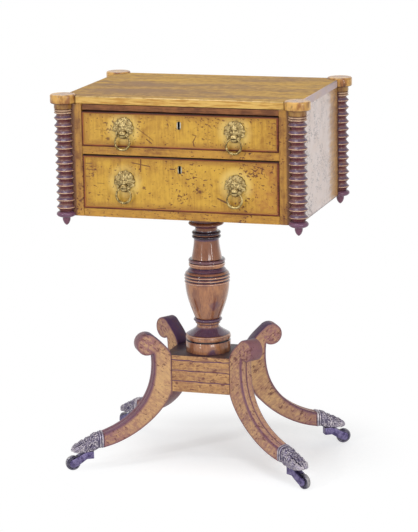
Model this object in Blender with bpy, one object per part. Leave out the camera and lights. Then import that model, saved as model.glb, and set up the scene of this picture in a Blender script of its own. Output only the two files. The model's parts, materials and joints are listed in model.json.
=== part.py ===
"""Two-drawer work table on a turned pedestal with four sabre legs on casters.

Metres, +Z up. The front faces -Y, and the origin is on the floor under the middle of the pedestal.
"""

import math

import bmesh
import bpy
from mathutils import Matrix, Vector

# Overall form
TABLE_HEIGHT = 0.730        # floor to the top of the column heads
COLUMN_SPACING_X = 0.450    # between column axes, which stand on the corners of the case
COLUMN_SPACING_Y = 0.306
FIT_GAP = 0.0003            # between pieces that touch
RUNNING_GAP = 0.0006        # beside a drawer, and between a wheel and its horn

# Top board
BOARD_THICKNESS = 0.0145
BOARD_OVERHANG = 0.0015
BOARD_EDGE_ROUND = 0.0020

# Case, with the heights of its front from the top down
SIDE_THICKNESS = 0.014
BACK_THICKNESS = 0.012
BOTTOM_THICKNESS = 0.0140
STILE_WIDTH = 0.0212
FRAME_DEPTH = 0.030
TOP_RAIL_HEIGHT = 0.012
TOP_RAIL_RECESS = 0.003
UPPER_OPENING_HEIGHT = 0.067
MIDDLE_RAIL_HEIGHT = 0.015
LOWER_OPENING_HEIGHT = 0.102
BOTTOM_RAIL_HEIGHT = 0.0155
RUNNER_WIDTH = 0.014

# Columns
HEAD_RADIUS = 0.0238
HEAD_PROUD = 0.0025
HEAD_EDGE_ROUND = 0.0025
COLLAR_RADIUS = 0.0170
COLLAR_HEIGHT = 0.0100
NECK_RING_RADIUS = 0.0172
NECK_RADIUS = 0.0135
NECK_HEIGHT = 0.0090
RING_COUNT = 13             # sharp rings; a round one follows them
RING_CREST_RADIUS = 0.0176
RING_VALLEY_RADIUS = 0.0116
LAST_RING_RADIUS = 0.0184
LAST_RING_HEIGHT = 0.0134
LAST_RING_DROP = 0.0030     # of its lower edge below the case
FINIAL_RADIUS = 0.0076
FINIAL_LENGTH = 0.0155
FINIAL_OUTLINE = ((0.86, 0.50), (0.55, 0.86), (0.0, 1.0))   # shares of its radius and length

# Drawers
FRONT_THICKNESS = 0.018
DRAWER_WALL = 0.009
DRAWER_BOTTOM_THICKNESS = 0.006
DRAWER_BOTTOM_RISE = 0.010  # from the lower edge of the sides to the bottom panel
GROOVE_DEPTH = 0.004
DRAWER_BACK_CLEARANCE = 0.009
DRAWER_TOP_GAP = 0.0012
SIDE_DROP = 0.003           # sides are this much lower than the front
BEAD_WIDTH = 0.0045
BEAD_DEPTH = 0.011
BEAD_PROUD = 0.0018

# Locks
LOCK_WIDTH = 0.050
LOCK_HEIGHT = 0.034
LINER_DROP = 0.022          # from the top of the drawer front to the middle of the liner
LINER_WIDTH = 0.0076
LINER_HEIGHT = 0.0150
LINER_PROUD = 0.0004
KEYHOLE_RISE = 0.0036       # of the keyhole's round above the middle of the liner
KEYHOLE_RADIUS = 0.0023
KEYHOLE_SLOT_WIDTH = 0.0032
KEYHOLE_SLOT_LENGTH = 0.0072
KEYHOLE_DEPTH = 0.0145

# Lion masks and ring pulls
MASK_OFFSET = 0.107         # from the middle of the drawer
MASK_RISE = 0.0026          # above the middle of the drawer front
MASK_RADIUS = 0.0208
MASK_SCALLOPS = 8
MASK_EDGE = 0.0015
MANE_HEIGHT = 0.0062
MANE_OUTLINE = ((0.55, 0.92), (0.84, 0.66))     # shares of the mask's radius and the mane's height
MANE_NOTCH = 0.92           # share of the radius between two locks of the mane
FACE_HEIGHT = 0.0105
FACE_HALF_WIDTH = 0.0104
FACE_HALF_LENGTH = 0.0130
FACE_RISE = 0.0020          # of the face's middle above the mask's
MUZZLE_HALF_WIDTH = 0.0080
MUZZLE_HALF_HEIGHT = 0.0074
MUZZLE_HALF_DEPTH = 0.0064
MOUTH_DROP = 0.0104         # from the middle of the mask to the ring's axis
RING_STANDOFF = 0.0092      # from the drawer front to the ring's axis
RING_RADIUS = 0.0142
RING_TUBE_RADIUS = 0.0016
RING_CLEARANCE = 0.0004
MASK_BOLT_RADIUS = 0.0025
MASK_BOLT_LENGTH = 0.013

# Pedestal, radii and heights from the top down; the shaft takes up what is left
PLATE_RADIUS = 0.052
PLATE_HEIGHT = 0.010
TOP_COVE_RADIUS = 0.027
TOP_COVE_HEIGHT = 0.0215
FLANGE_RADIUS = 0.0342
FLANGE_HEIGHT = 0.0075
UPPER_NECK_RADIUS = 0.0214
UPPER_NECK_HEIGHT = 0.0115
PAIR_RADIUS = 0.0265
PAIR_HEIGHT = 0.0145
SHAFT_TOP_RADIUS = 0.0235
SHAFT_FOOT_RADIUS = 0.0280
TORUS_RADIUS = 0.0345
TORUS_HEIGHT = 0.0160
COVE_TOP_RADIUS = 0.0303
COVE_FOOT_RADIUS = 0.0384
COVE_HEIGHT = 0.0115
BAND_RADIUS = 0.0422
BAND_HEIGHT = 0.0245
BAND_RINGS = 3
BAND_GROOVE = 0.0018
VASE_FOOT_RADIUS = 0.0249
VASE_HEIGHT = 0.0615
VASE_RING_RADIUS = 0.0262
VASE_RING_HEIGHT = 0.0065
LOWER_NECK_RADIUS = 0.0203
LOWER_NECK_HEIGHT = 0.0090
FLARE_RADIUS = 0.0386
FLARE_HEIGHT = 0.0160
BASE_TORUS_RADIUS = 0.0434
BASE_TORUS_HEIGHT = 0.0160
PLINTH_GROOVE_RADIUS = 0.0405
PLINTH_GROOVE_HEIGHT = 0.0030
PLINTH_RADIUS = 0.0433
PLINTH_HEIGHT = 0.0145
TENON_RADIUS = 0.016
TENON_LENGTH = 0.035

# Platform and legs; a leg is drawn in its own plane, distances out from the pedestal's axis
PLATFORM_TOP = 0.2145
PLATFORM_HEIGHT = 0.0720
LEG_ANGLE = math.radians(33.0)  # between a leg and the front of the table
LEG_THICKNESS = 0.0280
LEG_SEAT_RADIUS = 0.0775
LEG_END_RADIUS = 0.2150
LEG_END_TOP = 0.0705
LEG_END_BOTTOM = 0.0430
LEG_NOTCH_RADIUS = 0.1140       # where the scroll meets the sweep
SCROLL_CENTRE_RADIUS = 0.1240
SCROLL_RISE = 0.0235            # of the scroll's middle above the platform
SCROLL_RADIUS = 0.0208
SCROLL_START = math.radians(128)    # on the scroll, where the back of the leg runs into it
SCROLL_STOP = math.radians(-122)    # and where the sweep begins
LEG_BACK_PULLS = ((0.004, 0.016), (0.012, 0.011))       # how each curve of the outline leaves and arrives
LEG_SWEEP_PULLS = ((-0.010, -0.082), (0.066, -0.020))
LEG_UNDER_PULLS = ((-0.058, 0.009), (-0.018, 0.046))
REED_DEPTH = 0.0020
REED_EDGE_DEPTH = 0.0012
DOVETAIL_LENGTH = 0.012
DOVETAIL_NARROW = 0.011
DOVETAIL_WIDE = 0.016
DOVETAIL_TOP_DROP = 0.012
LEG_TENON_LENGTH = 0.014
LEG_TENON_WIDTH = 0.016
LEG_TENON_HEIGHT = 0.016

# Paw caps
PAW_BOTTOM = 0.0355
PAW_WALL = 0.0014           # how far the collar stands round the leg
PAW_KNUCKLE_TOP = 0.0655
PAW_TIP_TOP = 0.0430
PAW_TIP_LIFT = 0.0020
PAW_COLLAR_GROOVE = 0.0013
PAW_COLLAR_LENGTH = 0.0104
PAW_KNUCKLE_REACH = 0.0158  # from the collar's end of the paw to its highest point
PAW_TOES = (                # distance from the collar's end, half width
    (0.0271, 0.0171), (0.0385, 0.0178), (0.0494, 0.0167), (0.0566, 0.0132), (0.0602, 0.0089))
PAW_TOP_EXPONENT = 0.75     # of the rounding above the middle of a section
PAW_SOLE_EXPONENT = 0.45    # and below it
TOE_DEPTH = 0.13            # share of a toe's radius lost between the toes

# Casters
SWIVEL_RADIUS = 0.2410      # of the swivel axis from the pedestal's axis
CASTER_TRAIL = 0.0330
WHEEL_RADIUS = 0.0145
WHEEL_WIDTH = 0.0090
WHEEL_EDGE_ROUND = 0.0020
AXLE_RADIUS = 0.0020
AXLE_GAP = 0.0003
HORN_CHEEK = 0.0036
HORN_BLOCK_HALF = 0.0070
HORN_BLOCK_HEIGHT = 0.0170
HORN_EYE_RADIUS = 0.0090
HORN_ARM_PULLS = ((0.0056, -0.0011), (0.0056, -0.0019))     # of the arm's upper edge, out from the block
HORN_UNDER_PULLS = ((-0.0056, 0.0009), (-0.0028, 0.0019))   # and of its lower edge, back to the block
WHEEL_SLOT_CLEARANCE = 0.0018
PINTLE_RADIUS = 0.0040
PINTLE_LENGTH = 0.0120
PINTLE_GAP = 0.0003

# Facets
COLUMN_SEGMENTS = 12
COLUMN_PHASE = math.pi / COLUMN_SEGMENTS
PEDESTAL_SEGMENTS = 16
SMALL_SEGMENTS = 16
PIN_SEGMENTS = 10
CURVE_STEPS = 10

# Places that follow from the sizes above
HALF_X = COLUMN_SPACING_X / 2
HALF_Y = COLUMN_SPACING_Y / 2
BOARD_TOP = TABLE_HEIGHT - HEAD_PROUD
CASE_TOP = BOARD_TOP - BOARD_THICKNESS - FIT_GAP
UPPER_TOP = CASE_TOP - TOP_RAIL_HEIGHT
UPPER_BOTTOM = UPPER_TOP - UPPER_OPENING_HEIGHT
LOWER_TOP = UPPER_BOTTOM - MIDDLE_RAIL_HEIGHT
LOWER_BOTTOM = LOWER_TOP - LOWER_OPENING_HEIGHT
CASE_BOTTOM = LOWER_BOTTOM - BOTTOM_RAIL_HEIGHT
SIDE_INNER = HALF_X - SIDE_THICKNESS
OPENING_HALF = SIDE_INNER - FIT_GAP - STILE_WIDTH
BACK_INNER = HALF_Y - BACK_THICKNESS
FRAME_BACK = -HALF_Y + FRAME_DEPTH
DRAWER_DEPTH = BACK_INNER + HALF_Y - DRAWER_BACK_CLEARANCE
PLATFORM_BOTTOM = PLATFORM_TOP - PLATFORM_HEIGHT
HORN_TOP = PAW_BOTTOM - FIT_GAP
LOCK_FRONT = BEAD_DEPTH + 2 * FIT_GAP

# Colours as linear red, green, blue, then roughness and metallic value
FINISHES = {
    "figured_maple": ((0.62, 0.38, 0.09), 0.30, 0.0),
    "top_maple": ((0.40, 0.24, 0.09), 0.28, 0.0),
    "red_rail": ((0.30, 0.13, 0.06), 0.35, 0.0),
    "dark_turning": ((0.10, 0.042, 0.040), 0.28, 0.0),
    "dark_bead": ((0.14, 0.035, 0.022), 0.35, 0.0),
    "pedestal_maple": ((0.28, 0.13, 0.05), 0.25, 0.0),
    "leg_maple": ((0.42, 0.24, 0.11), 0.32, 0.0),
    "inside_pine": ((0.45, 0.29, 0.14), 0.60, 0.0),
    "mount_brass": ((0.40, 0.32, 0.11), 0.38, 1.0),
    "paw_brass": ((0.22, 0.20, 0.17), 0.45, 1.0),
    "caster_brass": ((0.12, 0.11, 0.14), 0.42, 1.0),
    "lock_brass": ((0.48, 0.40, 0.22), 0.40, 1.0),
}


def clear_scene():
    """Remove every object and mesh of the scene."""
    for obj in list(bpy.data.objects):
        bpy.data.objects.remove(obj, do_unlink=True)
    for mesh in list(bpy.data.meshes):
        bpy.data.meshes.remove(mesh)


def make_material(name):
    """Give the Principled material of a named finish."""
    material = bpy.data.materials.get(name)
    if material:
        return material
    colour, roughness, metallic = FINISHES[name]
    material = bpy.data.materials.new(name)
    material.use_nodes = True
    shader = material.node_tree.nodes["Principled BSDF"]
    shader.inputs["Base Color"].default_value = (*colour, 1.0)
    shader.inputs["Roughness"].default_value = roughness
    shader.inputs["Metallic"].default_value = metallic
    return material


def to_mesh(bm, name="shape"):
    """Turn a bmesh into a mesh with its faces pointing out."""
    bmesh.ops.recalc_face_normals(bm, faces=bm.faces)
    mesh = bpy.data.meshes.new(name)
    bm.to_mesh(mesh)
    bm.free()
    return mesh


def place(name, mesh, finish, location=(0, 0, 0), turn=0.0, parent=None, smooth=False):
    """Make a named object from a mesh, turned about Z, under a parent empty if it has one."""
    mesh = mesh.copy()
    mesh.name = name
    mesh.materials.clear()
    mesh.materials.append(make_material(finish))
    if smooth:
        mesh.shade_smooth()
        mesh.set_sharp_from_angle(angle=math.radians(35))
    obj = bpy.data.objects.new(name, mesh)
    bpy.context.scene.collection.objects.link(obj)
    obj.location = location
    obj.rotation_euler.z = turn
    obj.parent = parent
    return obj


def make_pivot(name, location, turn=0.0, parent=None):
    """Make an empty on a joint's axis."""
    pivot = bpy.data.objects.new(name, None)
    bpy.context.scene.collection.objects.link(pivot)
    pivot.location = location
    pivot.rotation_euler.z = turn
    pivot.parent = parent
    return pivot


def combine(base, tool, operation):
    """Give base with tool joined to it or cut from it."""
    objects = []
    for mesh in (base, tool):
        obj = bpy.data.objects.new("operand", mesh)
        bpy.context.scene.collection.objects.link(obj)
        objects.append(obj)
    modifier = objects[0].modifiers.new("combine", "BOOLEAN")
    modifier.operation = operation
    modifier.solver = "EXACT"
    modifier.object = objects[1]
    graph = bpy.context.evaluated_depsgraph_get()
    result = bpy.data.meshes.new_from_object(objects[0].evaluated_get(graph))
    for obj in objects:
        bpy.data.objects.remove(obj, do_unlink=True)
    return result


def join(base, *tools):
    """Give the union of several shapes."""
    for tool in tools:
        base = combine(base, tool, "UNION")
    return base


def cut(base, *tools):
    """Give base with every tool cut from it."""
    for tool in tools:
        base = combine(base, tool, "DIFFERENCE")
    return base


def block(low, high):
    """Give a box between two corners."""
    bm = bmesh.new()
    size = Vector(high) - Vector(low)
    middle = (Vector(high) + Vector(low)) / 2
    bmesh.ops.create_cube(bm, size=1.0, matrix=Matrix.Translation(middle) @ Matrix.Diagonal((*size, 1.0)))
    return to_mesh(bm)


def prism(outline, low, high):
    """Give a flat outline of (x, z) points, drawn in the XZ plane, extruded along Y."""
    bm = bmesh.new()
    near = [bm.verts.new((x, low, z)) for x, z in outline]
    far = [bm.verts.new((x, high, z)) for x, z in outline]
    bm.faces.new(near)
    bm.faces.new(far)
    count = len(outline)
    for index in range(count):
        following = (index + 1) % count
        bm.faces.new((near[index], near[following], far[following], far[index]))
    return to_mesh(bm)


def turned(profile, segments, closed=False, phase=0.0, radius_at=None):
    """Turn (radius, height) points about Z; a closed profile is a loop clear of the axis.

    radius_at, where it is given, scales the radius of each segment by its index.
    """
    bm = bmesh.new()
    rows = []
    for radius, height in profile:
        if radius <= 0.0:
            rows.append([bm.verts.new((0.0, 0.0, height))])
            continue
        row = []
        for index in range(segments):
            angle = math.tau * index / segments + phase
            reach = radius * (radius_at(index) if radius_at else 1.0)
            row.append(bm.verts.new((reach * math.cos(angle), reach * math.sin(angle), height)))
        rows.append(row)
    pairs = list(zip(rows, rows[1:]))
    if closed:
        pairs.append((rows[-1], rows[0]))
    for upper, lower in pairs:
        for index in range(segments):
            following = (index + 1) % segments
            if len(upper) == 1:
                bm.faces.new((upper[0], lower[index], lower[following]))
            elif len(lower) == 1:
                bm.faces.new((upper[index], lower[0], upper[following]))
            else:
                bm.faces.new((upper[index], lower[index], lower[following], upper[following]))
    return to_mesh(bm)


def moved(mesh, matrix):
    """Give a copy of a mesh with a matrix applied to it."""
    mesh = mesh.copy()
    mesh.transform(matrix)
    return mesh


def across_y(mesh):
    """Give a shape turned so that its Z axis lies along Y."""
    return moved(mesh, Matrix.Rotation(math.pi / 2, 4, "X"))


def rod(radius, low, high, segments=PIN_SEGMENTS, phase=0.0):
    """Give a round rod along Z."""
    return turned(((0, high), (radius, high), (radius, low), (0, low)), segments, phase=phase)


def ellipsoid(centre, radii, segments=8, rings=6):
    """Give an ellipsoid with its poles on Z."""
    bm = bmesh.new()
    matrix = Matrix.Translation(centre) @ Matrix.Diagonal((*radii, 1.0))
    bmesh.ops.create_uvsphere(bm, u_segments=segments, v_segments=rings, radius=1.0, matrix=matrix)
    return to_mesh(bm)


def sweep_curve(start, start_pull, end, end_pull, steps=CURVE_STEPS):
    """Give the points of a cubic curve in a plane, each end with its own pull."""
    points = []
    for index in range(steps + 1):
        t = index / steps
        weights = ((1 - t) ** 3, 3 * t * (1 - t) ** 2, 3 * t * t * (1 - t), t ** 3)
        handles = (start, (start[0] + start_pull[0], start[1] + start_pull[1]),
                   (end[0] - end_pull[0], end[1] - end_pull[1]), end)
        points.append(tuple(sum(w * h[axis] for w, h in zip(weights, handles)) for axis in (0, 1)))
    return points


def corner_signs():
    """Give the name and the X and Y sign of each corner of the table."""
    return (("front_left", -1, -1), ("front_right", 1, -1), ("back_left", -1, 1), ("back_right", 1, 1))


def build_top_board():
    """Make the top, with a round notch for each column head."""
    reach_x = HALF_X + BOARD_OVERHANG
    reach_y = HALF_Y + BOARD_OVERHANG
    board = block((-reach_x, -reach_y, CASE_TOP + FIT_GAP), (reach_x, reach_y, BOARD_TOP))
    bm = bmesh.new()
    bm.from_mesh(board)
    upper = [edge for edge in bm.edges if all(vert.co.z > BOARD_TOP - FIT_GAP for vert in edge.verts)]
    bmesh.ops.bevel(bm, geom=upper, offset=BOARD_EDGE_ROUND, segments=2, profile=0.5, affect="EDGES")
    board = to_mesh(bm)
    notch = rod(HEAD_RADIUS + FIT_GAP, CASE_TOP - BOARD_THICKNESS, TABLE_HEIGHT + BOARD_THICKNESS,
                COLUMN_SEGMENTS, COLUMN_PHASE)
    for _, sign_x, sign_y in corner_signs():
        board = cut(board, moved(notch, Matrix.Translation((sign_x * HALF_X, sign_y * HALF_Y, 0))))
    place("top_board", board, "top_maple")


def build_case():
    """Make the sides, back, front frame, guides and bottom board."""
    for name, sign in (("left", -1), ("right", 1)):
        xs = sorted((sign * SIDE_INNER, sign * HALF_X))
        place(f"{name}_side", block((xs[0], -HALF_Y, CASE_BOTTOM), (xs[1], HALF_Y, CASE_TOP)),
              "figured_maple")
        xs = sorted((sign * OPENING_HALF, sign * (SIDE_INNER - FIT_GAP)))
        place(f"front_{name}_stile", block((xs[0], -HALF_Y, CASE_BOTTOM), (xs[1], FRAME_BACK, CASE_TOP)),
              "figured_maple")
        build_guide(name, sign)
    inner = SIDE_INNER - FIT_GAP
    place("back_panel", block((-inner, BACK_INNER, CASE_BOTTOM), (inner, HALF_Y, CASE_TOP)), "inside_pine")
    bottom_low = LOWER_BOTTOM - BOTTOM_THICKNESS
    place("bottom_board",
          block((-inner, FRAME_BACK + FIT_GAP, bottom_low), (inner, BACK_INNER - FIT_GAP, LOWER_BOTTOM)),
          "inside_pine")
    rails = (
        ("front_top_rail", UPPER_TOP, CASE_TOP, TOP_RAIL_RECESS, "red_rail"),
        ("front_middle_rail", LOWER_TOP, UPPER_BOTTOM, 0.0, "figured_maple"),
        ("front_bottom_rail", CASE_BOTTOM, LOWER_BOTTOM, 0.0, "figured_maple"),
    )
    half = OPENING_HALF - FIT_GAP
    for name, low, high, recess, finish in rails:
        place(name, block((-half, -HALF_Y + recess, low), (half, FRAME_BACK, high)), finish)


def build_guide(name, sign):
    """Make one drawer guide with the upper drawer's runner and, above it, a kicker."""
    outer = SIDE_INNER - FIT_GAP
    ledge = OPENING_HALF - RUNNER_WIDTH
    outline = (
        (outer, LOWER_BOTTOM + FIT_GAP), (outer, CASE_TOP), (ledge, CASE_TOP), (ledge, UPPER_TOP),
        (OPENING_HALF, UPPER_TOP), (OPENING_HALF, UPPER_BOTTOM), (ledge, UPPER_BOTTOM),
        (ledge, LOWER_TOP), (OPENING_HALF, LOWER_TOP), (OPENING_HALF, LOWER_BOTTOM + FIT_GAP),
    )
    shape = prism([(sign * x, z) for x, z in outline], FRAME_BACK + FIT_GAP, BACK_INNER - FIT_GAP)
    place(f"{name}_drawer_guide", shape, "inside_pine")


def column_profile():
    """Give a column's outline from its head down to the tip of its finial."""
    head_low = CASE_TOP + FIT_GAP
    collar_low = head_low - COLLAR_HEIGHT
    rings_top = collar_low - NECK_HEIGHT
    last_low = CASE_BOTTOM - LAST_RING_DROP
    last_top = last_low + LAST_RING_HEIGHT
    pitch = (rings_top - last_top) / RING_COUNT
    points = [
        (0, TABLE_HEIGHT), (HEAD_RADIUS - HEAD_EDGE_ROUND, TABLE_HEIGHT),
        (HEAD_RADIUS, TABLE_HEIGHT - HEAD_EDGE_ROUND), (HEAD_RADIUS, head_low + HEAD_EDGE_ROUND),
        (HEAD_RADIUS - HEAD_EDGE_ROUND, head_low), (COLLAR_RADIUS, head_low), (COLLAR_RADIUS, collar_low),
        (NECK_RADIUS, collar_low), (NECK_RING_RADIUS, collar_low - NECK_HEIGHT / 3),
        (NECK_RADIUS, collar_low - 2 * NECK_HEIGHT / 3),
    ]
    for index in range(RING_COUNT):
        top = rings_top - index * pitch
        points += [(RING_VALLEY_RADIUS, top), (RING_CREST_RADIUS, top - pitch / 2)]
    points.append((RING_VALLEY_RADIUS, last_top))
    points += bulge(last_top, LAST_RING_HEIGHT, FINIAL_RADIUS, LAST_RING_RADIUS, 4)[1:]
    points += [(FINIAL_RADIUS * width, last_low - FINIAL_LENGTH * share) for width, share in FINIAL_OUTLINE]
    return points


def build_columns():
    """Make the four columns, each with a quarter cut out where it wraps the corner of the case."""
    column = turned(column_profile(), COLUMN_SEGMENTS, phase=COLUMN_PHASE)
    reach = 2 * HEAD_RADIUS
    corner = block((-reach, -reach, CASE_BOTTOM - FIT_GAP), (FIT_GAP, FIT_GAP, CASE_TOP + FIT_GAP))
    column = cut(column, corner)
    turns = {"back_right": 0.0, "back_left": 0.5, "front_left": 1.0, "front_right": 1.5}
    for name, sign_x, sign_y in corner_signs():
        place(f"{name}_column", column, "dark_turning", (sign_x * HALF_X, sign_y * HALF_Y, 0),
              turns[name] * math.pi, smooth=True)


def bead_frame(half_width, height, section):
    """Give a mitred frame in the XZ plane; section holds (inset from the outer edge, y) points."""
    bm = bmesh.new()
    loops = []
    for inset, y in section:
        half = half_width - inset
        corners = ((-half, inset), (half, inset), (half, height - inset), (-half, height - inset))
        loops.append([bm.verts.new((x, y, z)) for x, z in corners])
    for index, loop in enumerate(loops):
        following = loops[(index + 1) % len(loops)]
        for corner in range(4):
            beside = (corner + 1) % 4
            bm.faces.new((loop[corner], loop[beside], following[beside], following[corner]))
    return to_mesh(bm)


def keyhole_outline(radius, slot_width, slot_length, middle):
    """Give a keyhole: a round with a slot below it."""
    half = slot_width / 2
    start = math.asin(half / radius)
    steps = 10
    points = [(half, middle - slot_length)]
    for index in range(steps + 1):
        angle = -math.pi / 2 + start + (math.tau - 2 * start) * index / steps
        points.append((radius * math.cos(angle), middle + radius * math.sin(angle)))
    points.append((-half, middle - slot_length))
    return points


def liner_outline(grow, middle):
    """Give the keyhole liner's upright outline with round ends."""
    radius = LINER_WIDTH / 2 + grow
    straight = LINER_HEIGHT / 2 - LINER_WIDTH / 2
    steps = 6
    points = []
    for end in (1, -1):
        for index in range(steps + 1):
            angle = math.pi * index / steps + (0 if end == 1 else math.pi)
            points.append((radius * math.cos(angle), middle + end * straight + radius * math.sin(angle)))
    return points


def lock_shape(height, grow):
    """Give a lock and its keyhole liner, grown all round by grow to cut their seat."""
    half = LOCK_WIDTH / 2 + grow
    back = FRONT_THICKNESS + grow
    body = block((-half, LOCK_FRONT - grow, height - LOCK_HEIGHT - grow), (half, back, height + grow))
    middle = height - LINER_DROP
    liner = prism(liner_outline(grow, middle), -LINER_PROUD - grow, (LOCK_FRONT + FRONT_THICKNESS) / 2)
    return join(body, liner)


def build_drawer(name, opening_bottom, opening_height):
    """Make one drawer with its bead, lock, masks and ring pulls, on an empty that slides with it."""
    slide = make_pivot(f"{name}_drawer_slide", (0, -HALF_Y, opening_bottom + FIT_GAP))
    half = OPENING_HALF - RUNNING_GAP
    height = opening_height - FIT_GAP - DRAWER_TOP_GAP
    side_height = height - SIDE_DROP
    panel_low = DRAWER_BOTTOM_RISE
    panel_high = panel_low + DRAWER_BOTTOM_THICKNESS
    inner = half - DRAWER_WALL
    panel_half = inner + GROOVE_DEPTH - FIT_GAP
    panel_front = FRONT_THICKNESS - GROOVE_DEPTH
    panel_back = DRAWER_DEPTH - FIT_GAP
    groove = block((-panel_half - FIT_GAP, panel_front - FIT_GAP, panel_low - FIT_GAP),
                   (panel_half + FIT_GAP, panel_back + DRAWER_WALL, panel_high + FIT_GAP))

    inset = BEAD_WIDTH + FIT_GAP
    front = join(
        block((-half, BEAD_DEPTH + FIT_GAP, 0), (half, FRONT_THICKNESS, height)),
        block((-half + inset, 0, inset), (half - inset, FRONT_THICKNESS - GROOVE_DEPTH / 2, height - inset)),
    )
    front = cut(front, groove, lock_shape(height, FIT_GAP))
    mask_height = height / 2 + MASK_RISE
    bolt_hole = across_y(rod(MASK_BOLT_RADIUS + FIT_GAP, -FRONT_THICKNESS, FRONT_THICKNESS))
    for sign in (-1, 1):
        place_at = Matrix.Translation((sign * MASK_OFFSET, MASK_BOLT_LENGTH - FRONT_THICKNESS, mask_height))
        front = cut(front, moved(bolt_hole, place_at))
    place(f"{name}_drawer_front", front, "figured_maple", parent=slide)

    crown = -BEAD_PROUD
    section = ((0, BEAD_DEPTH), (0, crown / 3), (BEAD_WIDTH / 2, crown), (BEAD_WIDTH, crown / 3),
               (BEAD_WIDTH, BEAD_DEPTH))
    place(f"{name}_drawer_cockbead", bead_frame(half, height, section), "dark_bead", parent=slide)

    wall_front = FRONT_THICKNESS + FIT_GAP
    for side, sign in (("left", -1), ("right", 1)):
        xs = sorted((sign * inner, sign * half))
        wall = cut(block((xs[0], wall_front, 0), (xs[1], DRAWER_DEPTH, side_height)), groove)
        place(f"{name}_drawer_{side}_side", wall, "inside_pine", parent=slide)
    back_half = inner - FIT_GAP
    place(f"{name}_drawer_back",
          block((-back_half, DRAWER_DEPTH - 2 * DRAWER_WALL, panel_high + FIT_GAP),
                (back_half, DRAWER_DEPTH - DRAWER_WALL, side_height)), "inside_pine", parent=slide)
    place(f"{name}_drawer_bottom",
          block((-panel_half, panel_front, panel_low), (panel_half, panel_back, panel_high)),
          "inside_pine", parent=slide)

    middle = height - LINER_DROP + KEYHOLE_RISE
    keyhole = prism(keyhole_outline(KEYHOLE_RADIUS, KEYHOLE_SLOT_WIDTH, KEYHOLE_SLOT_LENGTH, middle),
                    -FRONT_THICKNESS, KEYHOLE_DEPTH)
    place(f"{name}_drawer_lock", cut(lock_shape(height, 0.0), keyhole), "lock_brass", parent=slide)

    mask = mask_shape()
    ring = ring_shape()
    for side, sign in (("left", -1), ("right", 1)):
        centre = (sign * MASK_OFFSET, -FIT_GAP, mask_height)
        place(f"{name}_{side}_lion_mask", mask, "mount_brass", centre, parent=slide, smooth=True)
        pivot = make_pivot(f"{name}_{side}_ring_hinge",
                           (centre[0], centre[1] - RING_STANDOFF, centre[2] - MOUTH_DROP), parent=slide)
        place(f"{name}_{side}_ring_pull", ring, "mount_brass", parent=pivot, smooth=True)


def mouth_tunnel():
    """Give the way through the muzzle, waisted so that the round ring can swing in it."""
    steps = 2
    reach = MUZZLE_HALF_WIDTH
    profile = [(0, reach)]
    for index in range(steps + 1):
        x = reach * (1 - 2 * index / steps)
        drop = RING_RADIUS - math.sqrt(RING_RADIUS ** 2 - x * x)
        profile.append((drop + RING_TUBE_RADIUS + RING_CLEARANCE, x))
    profile.append((0, -reach))
    tunnel = turned(profile, PIN_SEGMENTS)
    return moved(tunnel, Matrix.Translation((0, -RING_STANDOFF, -MOUTH_DROP))
                 @ Matrix.Rotation(math.pi / 2, 4, "Y"))


def mask_shape():
    """Give a lion mask: a scalloped mane, a long face and a muzzle that the ring passes through."""
    slope = [(MASK_RADIUS * across, MANE_HEIGHT * up) for across, up in MANE_OUTLINE]
    mane = turned(((0, MANE_HEIGHT), *slope, (MASK_RADIUS, MASK_EDGE), (MASK_RADIUS, 0), (0, 0)),
                  2 * MASK_SCALLOPS, radius_at=lambda index: 1.0 if index % 2 else MANE_NOTCH)
    mane = across_y(mane)
    face = ellipsoid((0, -MANE_HEIGHT / 2, FACE_RISE),
                     (FACE_HALF_WIDTH, FACE_HEIGHT - MANE_HEIGHT / 2, FACE_HALF_LENGTH))
    muzzle = ellipsoid((0, -RING_STANDOFF, -MOUTH_DROP),
                       (MUZZLE_HALF_WIDTH, MUZZLE_HALF_DEPTH, MUZZLE_HALF_HEIGHT))
    reach = 2 * MASK_RADIUS
    behind = block((-reach, 0, -reach), (reach, reach, reach))
    bolt = across_y(rod(MASK_BOLT_RADIUS, -MASK_BOLT_LENGTH, MASK_EDGE))
    return join(cut(join(mane, cut(face, behind), muzzle), mouth_tunnel()), bolt)


def ring_shape():
    """Give a ring pull that hangs from its own axis at the origin."""
    sides = 6
    section = [(RING_RADIUS + RING_TUBE_RADIUS * math.cos(math.tau * index / sides),
                RING_TUBE_RADIUS * math.sin(math.tau * index / sides)) for index in range(sides)]
    ring = turned(section, SMALL_SEGMENTS, closed=True)
    return moved(ring, Matrix.Translation((0, 0, -RING_RADIUS)) @ Matrix.Rotation(math.pi / 2, 4, "X"))


def bulge(top, height, base, crest, steps=3):
    """Give the outline of a half-round bead, from its top edge to its lower edge."""
    points = []
    for index in range(steps + 1):
        angle = math.pi * index / steps
        points.append((base + (crest - base) * math.sin(angle), top - height * (1 - math.cos(angle)) / 2))
    return points


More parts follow.
